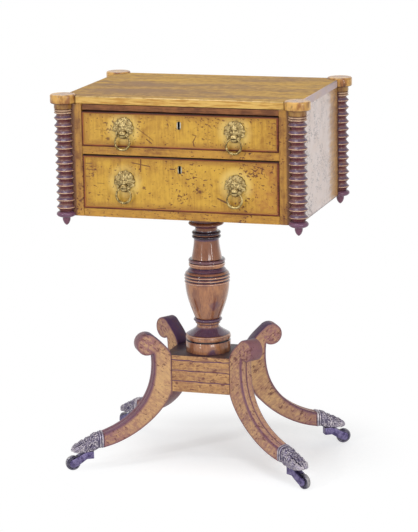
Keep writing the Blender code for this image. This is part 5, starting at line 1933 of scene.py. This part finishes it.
@dataclass
class SabreLeg:
    """A sabre leg in its own plane: scroll, reeded sweep and underside."""

    shop: Shop
    edge: float = 0.0013
    seat: float = 0.0775
    end: float = 0.2150
    end_top: float = 0.0705
    end_low: float = 0.0430
    notch: float = 0.1140
    scroll: Pair = (0.1240, 0.2380)
    scroll_radius: float = 0.0208
    scroll_turn: Pair = (math.radians(128), math.radians(-122))
    reed_depth: float = 0.0022
    border: float = 0.0075
    reed_stain: Pair = (0.25, 1.0)      # painted shade of the reeds of the right and the left legs, deeper on the left ones, which face away from the light
    ruddy: tuple[Corner, float] = (Corner.FRONT_RIGHT, 0.4)     # the leg given extra rose as painted shade, and how much
    mesh_pitch: float = 0.0035
    back_pulls: tuple[Pair, Pair] = ((0.004, 0.016), (0.012, 0.011))
    sweep_pulls: tuple[Pair, Pair] = ((-0.010, -0.082), (0.066, -0.020))
    under_pulls: tuple[Pair, Pair] = ((-0.058, 0.009), (-0.018, 0.046))
    blush_from: float = 0.125   # how far out the leg begins to turn rosy towards its foot
    back_points: int = 24       # points of the outline, from the seat, that look towards the pedestal and get deep painted shade
    steps: int = 60

    def stretches(self) -> tuple[np.ndarray, np.ndarray, np.ndarray]:
        """Give the leg's outline in its plane.

        Returns:
            Its three stretches: back and scroll, reeded sweep, underside.
        """
        turns = np.linspace(*self.scroll_turn, self.steps)
        curl = np.array(self.scroll) + self.scroll_radius * np.column_stack([np.cos(turns), np.sin(turns)])
        leave, arrive = self.back_pulls
        back = pulled_curve((self.seat, PLATFORM_TOP), leave, tuple(curl[0]), arrive, 14)
        leave, arrive = self.sweep_pulls
        sweep = pulled_curve((self.notch, curl[-1][1] - 0.0003), leave, (self.end, self.end_top), arrive, self.steps)
        leave, arrive = self.under_pulls
        under = pulled_curve((self.end, self.end_low), leave, (self.seat, PLATFORM_LOW), arrive, self.steps)
        return np.concatenate([back[:-1], curl]), sweep, under

    def body(self, finish: Material) -> Mesh:
        """Give the leg's body, its edges rounded, set in where the reeds go.

        Args:
            finish: the leg's material.

        Returns:
            The body in the leg's own frame, with its painted shade.
        """
        upper, sweep, under = self.stretches()
        inner = sweep + side_normals(sweep, False) * -self.reed_depth
        inner[-1] = (self.end, self.end_top - self.reed_depth)
        outline = np.concatenate([upper, inner[1:], under])
        rim = outline - side_normals(outline, True) * self.edge
        mesh = sealed(merged(self.shop.plate(outline, LEG_HALF, self.edge, finish),
                             *(flat_face(rim, depth, self.mesh_pitch) for depth in (-LEG_HALF, LEG_HALF))))
        flat = coordinates(mesh)[:, [0, 2]]
        away = np.linalg.norm(flat[:, None, :] - outline[None, :, :], axis=2)
        nearest = away.argmin(1)
        away = away.min(1)
        # painted shade along the outline, deepest on the back that faces the pedestal
        shade = np.clip(0.9 - away / self.border, 0.0, 0.75)
        back = (nearest < self.back_points) & (away < self.edge * 0.6)
        set_values(mesh, "shade", np.where(back, 1.7, shade))
        return creased(mesh, 32.0)

    def blush(self, mesh: Mesh) -> np.ndarray:
        """Give how rosy the leg is: at its scroll and towards its foot.

        Args:
            mesh: the leg in its own frame.

        Returns:
            One number for each vertex.
        """
        spots = coordinates(mesh)
        curl = np.hypot(spots[:, 0] - self.scroll[0], spots[:, 2] - self.scroll[1]) / self.scroll_radius
        foot = (spots[:, 0] - self.blush_from) / (self.end - self.blush_from)
        return np.clip(np.maximum(0.85 * (1.6 - curl), 0.85 * foot), 0.0, 0.8)

    def reeds(self, finish: Material, stain: float) -> Mesh:
        """Give the two reeds that follow the sweep, on a strip let into the leg.

        Args:
            finish: the leg's material.
            stain: painted shade of the reeds' crowns.

        Returns:
            The strip in the leg's own frame.
        """
        _, sweep, _ = self.stretches()
        up = upright(side_normals(sweep, False))
        up[-1] = (0.0, 0.0, 1.0)
        across = np.tile((0.0, 1.0, 0.0), (len(sweep), 1))
        section, around, wide = [], 9, LEG_HALF * 0.94
        for centre in (-wide / 2, wide / 2):
            for step in range(around + 1):
                angle = math.pi * (1 - step / around)
                section.append((centre + wide / 2 * math.cos(angle) * 0.97,
                                -self.reed_depth * (1.0 - math.sin(angle) ** 0.8) * 0.95))
        section += [(wide, -2.2 * self.reed_depth), (-wide, -2.2 * self.reed_depth), section[0]]
        mesh = self.shop.moulding(upright(sweep), across, up, np.array(section), finish, True)
        place = coordinates(mesh)[:, 1]
        # dark grooves between the reeds; the crowns get painted shade
        valley = np.maximum(1.2 - np.abs(place) / 0.0020, (np.abs(place) - 0.0106) / 0.0016)
        set_values(mesh, "shade", np.clip(valley, stain, 1.2))
        return creased(mesh, 42.0)

    def build(self) -> None:
        """Make the four legs."""
        finish = self.shop.woods["leg"]
        for number, spot in enumerate(Corner):
            stain = self.reed_stain[0 if spot.value[1] > 0 else 1]
            mesh = merged(self.body(finish), self.reeds(finish, stain))
            set_values(mesh, "lay", coordinates(mesh) + np.array([[0.0, 0.31 * number, 0.17 * number]]))
            # the front right leg's extra rose is painted shade
            set_values(mesh, "blush", np.maximum(self.blush(mesh), self.ruddy[1] if spot is self.ruddy[0] else 0.0))
            mesh = turned_copy(mesh, spot.leg_turn)
            add_piece(f"{spot.label}_sabre_leg", mesh, finish, "root", "leg_maple", f"{spot.label}_leg")


# distance along the paw, top, bottom, half width, share of the toes, share of the fur
PAW_ROWS = (
    (0.0000, 0.0722, 0.0416, 0.0155, 0.0, 0.0), (0.0012, 0.0729, 0.0411, 0.0160, 0.0, 0.0),
    (0.0034, 0.0729, 0.0411, 0.0160, 0.0, 0.0), (0.0042, 0.0708, 0.0428, 0.0143, 0.0, 0.0),
    (0.0052, 0.0718, 0.0416, 0.0156, 0.0, 0.0), (0.0074, 0.0716, 0.0410, 0.0157, 0.0, 0.0),
    (0.0086, 0.0700, 0.0418, 0.0147, 0.0, 0.1), (0.0110, 0.0702, 0.0405, 0.0154, 0.0, 1.0),
    (0.0165, 0.0692, 0.0378, 0.0162, 0.05, 1.0), (0.0205, 0.0666, 0.0366, 0.0161, 0.1, 1.0),
    (0.0232, 0.0630, 0.0362, 0.0158, 0.2, 1.0), (0.0270, 0.0628, 0.0360, 0.0164, 0.3, 1.0),
    (0.0315, 0.0606, 0.0358, 0.0169, 0.5, 1.0), (0.0350, 0.0566, 0.0357, 0.0165, 0.7, 0.9),
    (0.0395, 0.0566, 0.0357, 0.0168, 0.9, 0.8), (0.0435, 0.0544, 0.0357, 0.0165, 1.0, 0.8),
    (0.0465, 0.0506, 0.0357, 0.0157, 1.0, 0.7), (0.0510, 0.0504, 0.0358, 0.0155, 1.0, 0.6),
    (0.0550, 0.0474, 0.0362, 0.0140, 1.0, 0.5), (0.0585, 0.0436, 0.0372, 0.0110, 1.0, 0.3),
    (0.0602, 0.0410, 0.0386, 0.0060, 1.0, 0.0))
# height and radius of a claw
CLAW_ROWS = ((0.0, 0.0), (-0.02, 0.30), (-0.25, 0.34), (-0.60, 0.22), (-0.85, 0.10), (-1.0, 0.0))


@dataclass
class PawCap:
    """A cast paw that sleeves a leg's end: collar, furred knuckle, four toes and claws."""

    shop: Shop
    start: float = 0.2153
    length: float = 0.0602
    rows: int = 96
    around: int = 110
    toes: int = 4
    curl: Place = (230.0, 330.0, 330.0)
    fur: float = 0.0016
    claw_back: Pair = (0.0026, 0.0100)  # from the paw's end to the claws, and how much more to the outer ones
    claw_spread: float = 0.0122
    claw_height: Pair = (0.0425, 0.0010)    # of the outer claws, and how much more of the others
    claw_turn: Pair = (math.radians(-52), 0.35)
    claw_size: Place = (0.0068, 0.0068, 0.0074)
    claw_chance: float = 0.05
    claw_seed: int = 3

    def tuft(self, spot: Vector) -> float:
        """Give the height of the curls of fur at a place, from 0 between them to 1."""
        near = noise.voronoi(spot)[0]
        return min(1.0, 1.7 * (near[1] - near[0])) ** 0.6

    def shell(self) -> Mesh:
        """Give the paw in its leg's frame.

        Returns:
            The mesh, with its painted shade in the hollows and underneath marked.
        """
        table = np.array(PAW_ROWS)
        along = np.unique(np.concatenate([np.linspace(0.0, self.length, self.rows), table[:, 0]]))
        columns = [np.interp(along, table[:, 0], table[:, index]) for index in range(1, 6)]
        levels, marks = [], []
        angles = np.arange(self.around) * math.tau / self.around
        across, up = np.cos(angles), np.sin(angles)
        power = np.where(up >= 0, 0.72, 0.45)
        wide = np.sign(across) * np.abs(across) ** power
        tall = np.sign(up) * np.abs(up) ** power
        cleft = (1.0 - np.abs(np.sin((wide + 1.0) * math.pi * self.toes / 2))) ** 1.4 * (up > -0.35)
        cleft = np.where(np.abs(wide) > 0.9, 0.0, cleft)
        for x, top, bottom, half, toe, fur in zip(along, *columns):
            middle, rise = (top + bottom) / 2, (top - bottom) / 2
            spots = np.column_stack([np.full(self.around, x), half * wide, middle + rise * tall])
            curls = np.array([self.tuft(Vector(spot * np.array(self.curl))) for spot in spots])
            knuckle = 0.07 * toe * (math.exp(-((x - 0.0385) / 0.0035) ** 2) + math.exp(-((x - 0.0495) / 0.003) ** 2))
            dip = (1.0 - 0.36 * toe * cleft) * (1.0 + knuckle * (1.0 - cleft))
            swell = self.fur * fur * (curls - 0.6) * (up > -0.6)
            levels.append(np.column_stack([spots[:, 0] + self.start, (half * dip + swell) * wide,
                                           middle + (rise * dip + swell) * tall]))
            groove = 0.7 if 0.0037 < x < 0.0048 or 0.0080 < x < 0.0096 else 0.0
            # painted shade: between the curls, in the clefts and grooves, and underneath
            marks.append(np.clip(0.25 + fur * (0.75 - curls) + toe * cleft * 0.7 + groove + 0.3 * (up < -0.6),
                                 0.0, 1.0))
        mesh = layered(levels)
        set_values(mesh, "hollow", np.concatenate(marks)[:len(mesh.vertices)])
        return creased(mesh, 70.0)

    def claws(self, finish: Material) -> Mesh:
        """Give the claws at the ends of the toes.

        Args:
            finish: the paw's material.

        Returns:
            The mesh, with its painted shade marked.
        """
        claw = Profile([(radius, height, 0.0) for height, radius in CLAW_ROWS])
        unit = self.shop.turning(claw, 10, finish, 80.0)
        for vertex in unit.vertices:
            vertex.co.x -= 0.25 * vertex.co.z ** 2
        places, turns, sizes = [], [], []
        for toe in range(self.toes):
            share = (toe + 0.5) / self.toes * 2 - 1
            reach = self.start + self.length - self.claw_back[0] - self.claw_back[1] * share * share
            height = self.claw_height[0] + self.claw_height[1] * (1 - share * share)
            places.append((reach, self.claw_spread * share, height))
            turns.append((0.0, self.claw_turn[0], self.claw_turn[1] * share))
            sizes.append(self.claw_size)
        mesh = self.shop.repeats(unit, places, turns, sizes, finish, self.claw_chance, self.claw_seed)
        mesh = creased(sealed(mesh), 80.0)
        set_values(mesh, "hollow", np.full(len(mesh.vertices), 0.1))
        return mesh

    def build(self) -> None:
        """Make the four paws."""
        finish = self.shop.brasses["paw"]
        paw = merged(self.shell(), self.claws(finish))
        for spot in Corner:
            mesh = turned_copy(paw, spot.leg_turn)
            add_piece(f"{spot.label}_paw", mesh, finish, "root", "paw_brass", f"{spot.label}_paw_cap")


@dataclass
class Caster:
    """A brass caster: horn with its block and eyes, wheel, and axle."""

    shop: Shop
    swivel: float = 0.2410
    trail: float = 0.0330
    wheel: float = 0.0145
    wheel_width: float = 0.0090
    slack: float = 0.0006
    cheek: float = 0.0036
    block: float = 0.0070
    top: float = 0.0352
    block_height: float = 0.0140
    eye: float = 0.0078
    edge: float = 0.0007
    pintle: Pair = (0.0040, 0.0120)
    axle: float = 0.0020
    bore: float = 0.0023
    slot: float = 0.0163
    tread: float = 0.013        # radius past which the wheel is worn bright

    @property
    def half(self) -> float:
        """Give half the width over the cheeks."""
        return self.wheel_width / 2 + self.slack + self.cheek

    def on_axle(self, mesh: Mesh) -> Mesh:
        """Lay a turned mesh on the wheel's axis."""
        mesh.transform(Matrix.Translation((self.trail, 0, self.wheel)) @ Matrix.Rotation(QUARTER, 4, "X"))
        return mesh

    def outline(self) -> np.ndarray:
        """Give the horn's outline from the side.

        Returns:
            Its (x, z) points.
        """
        turns = np.radians(np.linspace(80.0, -100.0, 26))
        rim = np.column_stack([self.trail + self.eye * np.cos(turns), self.wheel + self.eye * np.sin(turns)])
        low = self.top - self.block_height
        arm = pulled_curve((self.block, self.top), (0.0056, -0.0011), tuple(rim[0]), (0.0056, -0.0019), 10)
        under = pulled_curve(tuple(rim[-1]), (-0.0056, 0.0009), (self.block, low), (-0.0028, 0.0019), 10)
        return np.concatenate([[(-self.block, low), (-self.block, self.top)], arm[:-1], rim, under[1:]])

    def horn(self, finish: Material) -> Mesh:
        """Give the horn about its swivel axis.

        Args:
            finish: its material.

        Returns:
            The mesh.
        """
        mesh = self.shop.plate(self.outline(), self.half, self.edge, finish, True)
        gap = self.wheel_width / 2 + self.slack
        for radius, reach in ((self.slot, gap), (self.bore, 2 * self.half)):
            rod = Profile().to(0.0, reach).to(radius, reach).to(radius, -reach).to(0.0, -reach)
            mesh = carved(mesh, self.on_axle(self.shop.turning(rod, 32, finish)))
        radius, length = self.pintle
        pin = Profile().to(0.0, self.top + length).to(radius, self.top + length).to(radius, self.top - 0.002)
        return merged(creased(sealed(mesh), 32.0), self.shop.turning(pin.to(0.0, self.top - 0.002), 24, finish))

    def tyre(self) -> Profile:
        """Give the wheel's outline.

        Returns:
            Its tread, rim, dished sides and hub.
        """
        half, rim = self.wheel_width / 2, self.wheel
        side = ((self.bore, half), (0.0052, half), (0.0058, half - 0.0008), (0.0100, half - 0.0012),
                (0.0108, half - 0.0004), (rim - 0.0016, half - 0.0003), (rim - 0.0004, half - 0.0014),
                (rim, half - 0.0030))
        profile = Profile()
        for rows, sign in ((side, 1), (side[::-1], -1)):
            for radius, height in rows:
                profile.to(radius, sign * height, float(radius > self.tread))
        return profile.to(*side[0])

    def build(self) -> None:
        """Make the four casters."""
        finish, wheel_finish = self.shop.brasses["caster"], self.shop.brasses["wheel"]
        horn, half = self.horn(finish), self.half
        wheel = self.on_axle(self.shop.turning(self.tyre(), 48, wheel_finish, 30.0))
        pin = Profile().to(0.0, half + 0.0004).to(0.0012, half + 0.0003).to(self.axle, half - 0.0003)
        pin.to(self.axle, 0.0003 - half).to(0.0012, -half - 0.0003).to(0.0, -half - 0.0004)
        axle = self.on_axle(self.shop.turning(pin, 20, finish))
        for spot in Corner:
            turn = spot.leg_turn
            place = (self.swivel * math.cos(turn), self.swivel * math.sin(turn), 0.0)
            for shape, piece, body, dress in ((horn, "horn", "caster", finish), (wheel, "wheel", "wheel", wheel_finish),
                                              (axle, "axle", "caster", finish)):
                add_piece(f"{spot.label}_{piece}_brass", turned_copy(shape, turn, place), dress,
                          f"{spot.label}_{body}", "caster_brass", f"{spot.label}_caster_{piece}")


@dataclass
class Studio:
    """Pale floor, soft light and the camera at the photograph's angle."""

    camera_place: Place = (1.27845, -3.99799, 1.34284)
    aim: Place = (0.0050, -0.0028, 0.3816)
    roll: float = math.radians(-1.0665)
    lens: float = 152.0
    floor_half: float = 30.0
    sky: float = 0.44
    shadow: Pair = (0.06, 0.38)         # where the floor's shadow starts to fade to white, and where it ends

    def build(self) -> None:
        """Make the stage, with each lamp's place, aim, size and power."""
        self.build_camera()
        self.build_world()
        self.build_floor()
        self.lamp("key", (-1.7, -3.4, 1.9), (0.0, 0.0, 0.45), (0.36, 0.36), 32.0)
        self.lamp("fill", (2.3, -2.9, 1.5), (0.0, 0.0, 0.45), (1.2, 1.2), 38.0)
        self.lamp("top", (-0.3, -0.7, 3.2), (0.0, 0.0, 0.3), (1.1, 1.1), 28.0)
        self.lamp("kicker", (0.95, 1.75, 0.34), (0.225, 0.0, 0.60), (1.0, 0.9), 1.6)
        self.lamp("right_strip", (3.1, -1.8, 0.66), (0.0, 0.0, 0.42), (0.10, 0.9), 10.0)
        self.lamp("left_strip", (-1.5, -3.3, 0.66), (0.0, 0.0, 0.42), (0.08, 0.9), 5.0)

    def build_camera(self) -> None:
        """Set the camera."""
        forward = (Vector(self.aim) - Vector(self.camera_place)).normalized()
        right = forward.cross(Vector((0, 0, 1))).normalized()
        up = right.cross(forward)
        cosine, sine = math.cos(self.roll), math.sin(self.roll)
        matrix = Matrix((right * cosine + up * sine, up * cosine - right * sine, -forward)).transposed().to_4x4()
        matrix.translation = Vector(self.camera_place)
        data = bpy.data.cameras.new("photo_camera")
        data.lens, data.sensor_width, data.sensor_fit, data.clip_end = self.lens, 36.0, "AUTO", 100.0
        camera = linked("photo_camera", data)
        camera.matrix_world = matrix
        bpy.context.scene.camera = camera

    def seen(self, canvas: NodeCanvas) -> NodeSocket:
        """Tell which rays see the stage as it looks.

        Args:
            canvas: the tree that asks.

        Returns:
            1 for rays from the camera and from gloss or glass, and 0 for the rest.
        """
        path = canvas.node("ShaderNodeLightPath").outputs
        both = canvas.math("MAXIMUM", path["Is Camera Ray"], path["Is Glossy Ray"])
        return canvas.math("MAXIMUM", both, path["Is Transmission Ray"])

    def build_world(self) -> None:
        """Set a white surrounding that lights the table softly."""
        world = bpy.data.worlds.new("studio")
        bpy.context.scene.world = world
        world.use_nodes = True
        canvas = NodeCanvas(world.node_tree)
        back = world.node_tree.nodes["Background"]
        back.inputs["Color"].default_value = (1.0, 1.0, 1.0, 1.0)
        strength = canvas.math("ADD", canvas.math("MULTIPLY", self.seen(canvas), 1.0 - self.sky), self.sky)
        canvas.feed(back.inputs["Strength"], strength)
        bpy.context.scene.view_settings.view_transform = "Standard"

    def build_floor(self) -> None:
        """Make the floor, white to the eye but with the table's shadow on it."""
        half = self.floor_half
        mesh = new_mesh([(-half, -half, 0), (half, -half, 0), (half, half, 0), (-half, half, 0)], [(0, 1, 2, 3)])
        material = bpy.data.materials.new("studio_floor")
        material.use_nodes = True
        canvas = NodeCanvas(material.node_tree)
        material.node_tree.nodes.remove(material.node_tree.nodes["Principled BSDF"])
        matt = canvas.node("ShaderNodeBsdfDiffuse", {"Color": (0.80, 0.80, 0.80)}).outputs[0]
        dim = canvas.node("ShaderNodeBsdfDiffuse", {"Color": (0.88, 0.90, 0.92)}).outputs[0]
        white = canvas.node("ShaderNodeEmission", {"Color": (1.0, 1.0, 1.0), "Strength": 1.0}).outputs[0]
        glow = canvas.node("ShaderNodeEmission", {"Color": (1.0, 1.0, 1.0), "Strength": 0.30}).outputs[0]
        both = canvas.node("ShaderNodeAddShader", {0: dim, 1: glow}).outputs[0]
        away = canvas.vector("DISTANCE", canvas.node("ShaderNodeTexCoord").outputs["Object"], (0.04, 0.04, 0.0))
        reach = canvas.span(away, *self.shadow)
        shown = canvas.node("ShaderNodeMixShader", {0: reach, 1: both, 2: white}).outputs[0]
        mixed = canvas.node("ShaderNodeMixShader", {0: self.seen(canvas), 1: matt, 2: shown}).outputs[0]
        canvas.feed(material.node_tree.nodes["Material Output"].inputs["Surface"], mixed)
        mesh.materials.append(material)
        linked("studio_floor", mesh)

    def lamp(self, name: str, place: Place, aim: Place, size: Pair, power: float) -> None:
        """Hang a soft lamp.

        Args:
            name: its name.
            place: where it hangs.
            aim: what it points at.
            size: width and height of its face.
            power: its power in watts.
        """
        data = bpy.data.lights.new(name, "AREA")
        data.shape, data.size, data.size_y, data.energy = "RECTANGLE", size[0], size[1], power
        lamp = linked(name, data)
        lamp.location = place
        lamp.rotation_euler = (Vector(aim) - Vector(place)).to_track_quat("-Z", "Y").to_euler()
        lamp.visible_camera = False


# marks on the drawer fronts: start, end, and the width and depth of those that differ from the plain scratch
UPPER_STROKES = (
    Stroke((-0.0820, 0.6710), (-0.0506, 0.6488), 0.0009, 0.6), Stroke((-0.0632, 0.6504), (-0.0534, 0.6431)),
    Stroke((0.0262, 0.6617), (0.0328, 0.6597), 0.0011, 0.7), Stroke((0.0328, 0.6597), (0.0298, 0.6541), 0.0009, 0.7),
    Stroke((0.0300, 0.6545), (0.0266, 0.6484), 0.0010), Stroke((0.0266, 0.6484), (0.0284, 0.6408), 0.0011),
    Stroke((-0.1385, 0.6492), (-0.1376, 0.6489), 0.0026, 0.8), Stroke((-0.1402, 0.6362), (-0.1394, 0.6366), 0.0032))
LOWER_STROKES = (
    Stroke((-0.1840, 0.6015), (-0.1711, 0.6013), 0.0009, 0.7),
    Stroke((-0.1840, 0.5903), (-0.1656, 0.5892), 0.0009, 0.7),
    Stroke((-0.1840, 0.5770), (-0.1758, 0.5766), 0.0010, 0.6),
    Stroke((-0.1624, 0.5648), (-0.1485, 0.5644), 0.0008, 0.5),
    Stroke((-0.0916, 0.6054), (-0.0584, 0.5999)), Stroke((-0.0754, 0.6144), (-0.0760, 0.5898), 0.0011),
    Stroke((0.0722, 0.5452), (0.0911, 0.5367), 0.0014), Stroke((-0.0448, 0.5212), (-0.030, 0.5225), 0.0012),
    Stroke((-0.0184, 0.5966), (-0.0103, 0.5960), 0.0012), Stroke((0.0029, 0.5920), (0.0085, 0.5904), 0.0013),
    Stroke((0.0376, 0.5562), (0.0388, 0.5558), 0.0030), Stroke((0.0320, 0.5600), (0.0330, 0.5590), 0.0022),
    Stroke((-0.0706, 0.5591), (-0.0696, 0.5596), 0.0024, 0.8))


def make_woods() -> dict[str, Material]:
    """Make every wood finish.

    Returns:
        The materials by the name that the pieces ask for.
    """
    finishes = {
        "upper_front": FiguredMaple("upper_front_maple", rim=(0.1844, 0.6667, 0.0283),
                                    halo_height=MASK_HEIGHTS["upper"], strokes=UPPER_STROKES, eyes=0.8),
        "lower_front": FiguredMaple("lower_front_maple", rim=(0.1844, 0.5672, 0.0458),
                                    halo_height=MASK_HEIGHTS["lower"], strokes=LOWER_STROKES, eyes=0.9,
                                    stain_from=0.138),
        "side": FiguredMaple("side_maple", eyes=0.5, fibre=Fibre.DEEP, end_from=0.1465),
        "faded_side": FiguredMaple("faded_side_maple", pale=paint(192, 146, 86), deep=paint(140, 94, 54), eyes=0.5,
                                   fibre=Fibre.DEEP, faded=True, end_from=0.1465),
        "stile": FiguredMaple("stile_maple", pale=paint(186, 136, 58), deep=paint(112, 66, 30), eyes=1.0,
                              joint_from=0.2030),
        "rail": FiguredMaple("rail_maple", pale=paint(192, 142, 54), deep=paint(132, 82, 32), fibre=Fibre.ALONG,
                             eyes=1.0),
        "red_rail": StainedRail("red_rail_wood", paint(152, 100, 62), paint(102, 62, 42), (0.7127,)),
        "bead": StainedRail("bead_wood", paint(124, 64, 44), paint(82, 38, 30), (0.6995, 0.6175), True),
        "top": StreakedTop(),
        "column": RingTurning(),
        "pedestal": PedestalPolish(),
        "leg": LegMaple("leg_maple", slope=math.radians(40)),
        "platform": LegMaple("platform_maple", carried=False, gold=paint(202, 158, 106), tan=paint(158, 114, 84),
                             dusty_top=True, knots=((0.0056, 0.1724), (-0.0014, 0.1558), (-0.0480, 0.1600))),
        "back": BarePine("back_pine", Fibre.ALONG),
        "bottom": BarePine("bottom_pine", Fibre.ALONG),
        "runner": BarePine("runner_pine", Fibre.DEEP),
        "drawer_side": BarePine("drawer_side_pine", Fibre.DEEP, paint(214, 178, 124)),
        "drawer_bottom": BarePine("drawer_bottom_pine", Fibre.ALONG, paint(210, 174, 122)),
        "tail": BarePine("dovetail_pine", Fibre.DEEP, paint(190, 148, 98), paint(132, 90, 54)),
    }
    return {key: finish.make() for key, finish in finishes.items()}


def make_brasses() -> dict[str, Material]:
    """Make every brass finish.

    Returns:
        The materials by the name that the pieces ask for.
    """
    finishes = {
        "mount": CastBrass("mount_brass_cast", paint(196, 174, 120), paint(140, 118, 72), paint(44, 30, 16)),
        "ring": CastBrass("ring_brass", paint(176, 156, 104), paint(112, 92, 56), paint(46, 34, 20), 1.0, 0.28),
        "paw": CastBrass("paw_brass_cast", paint(194, 186, 190), paint(140, 132, 150), paint(74, 66, 92), 0.7, 0.42),
        "caster": CastBrass("caster_brass_dark", paint(122, 112, 150), paint(74, 64, 104), paint(40, 34, 48), 0.7),
        "wheel": CastBrass("wheel_brass", paint(112, 108, 122), paint(66, 62, 82), paint(36, 32, 42), 0.85, 0.32,
                           worn=paint(158, 155, 154)),
        "lock": CastBrass("lock_brass_pale", paint(196, 190, 172), paint(140, 132, 110), paint(60, 52, 40), 0.6, 0.4,
                          sunk=-0.1528, keyhole=0.0024),
    }
    return {key: finish.make() for key, finish in finishes.items()}


def main() -> None:
    """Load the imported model, dress it and set the stage."""
    logging.basicConfig(level=logging.INFO, format="%(name)s %(message)s")
    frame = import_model()
    Studio().build()
    shop = Shop(frame, make_woods(), make_brasses())
    for piece in (TableTop(shop), Carcase(shop), RingColumn(shop), DrawerUnit(shop, "upper"), DrawerUnit(shop, "lower"),
                  LionPull(shop), Baluster(shop), Platform(shop), SabreLeg(shop), PawCap(shop), Caster(shop)):
        piece.build()


if __name__ == "__main__":
    main()
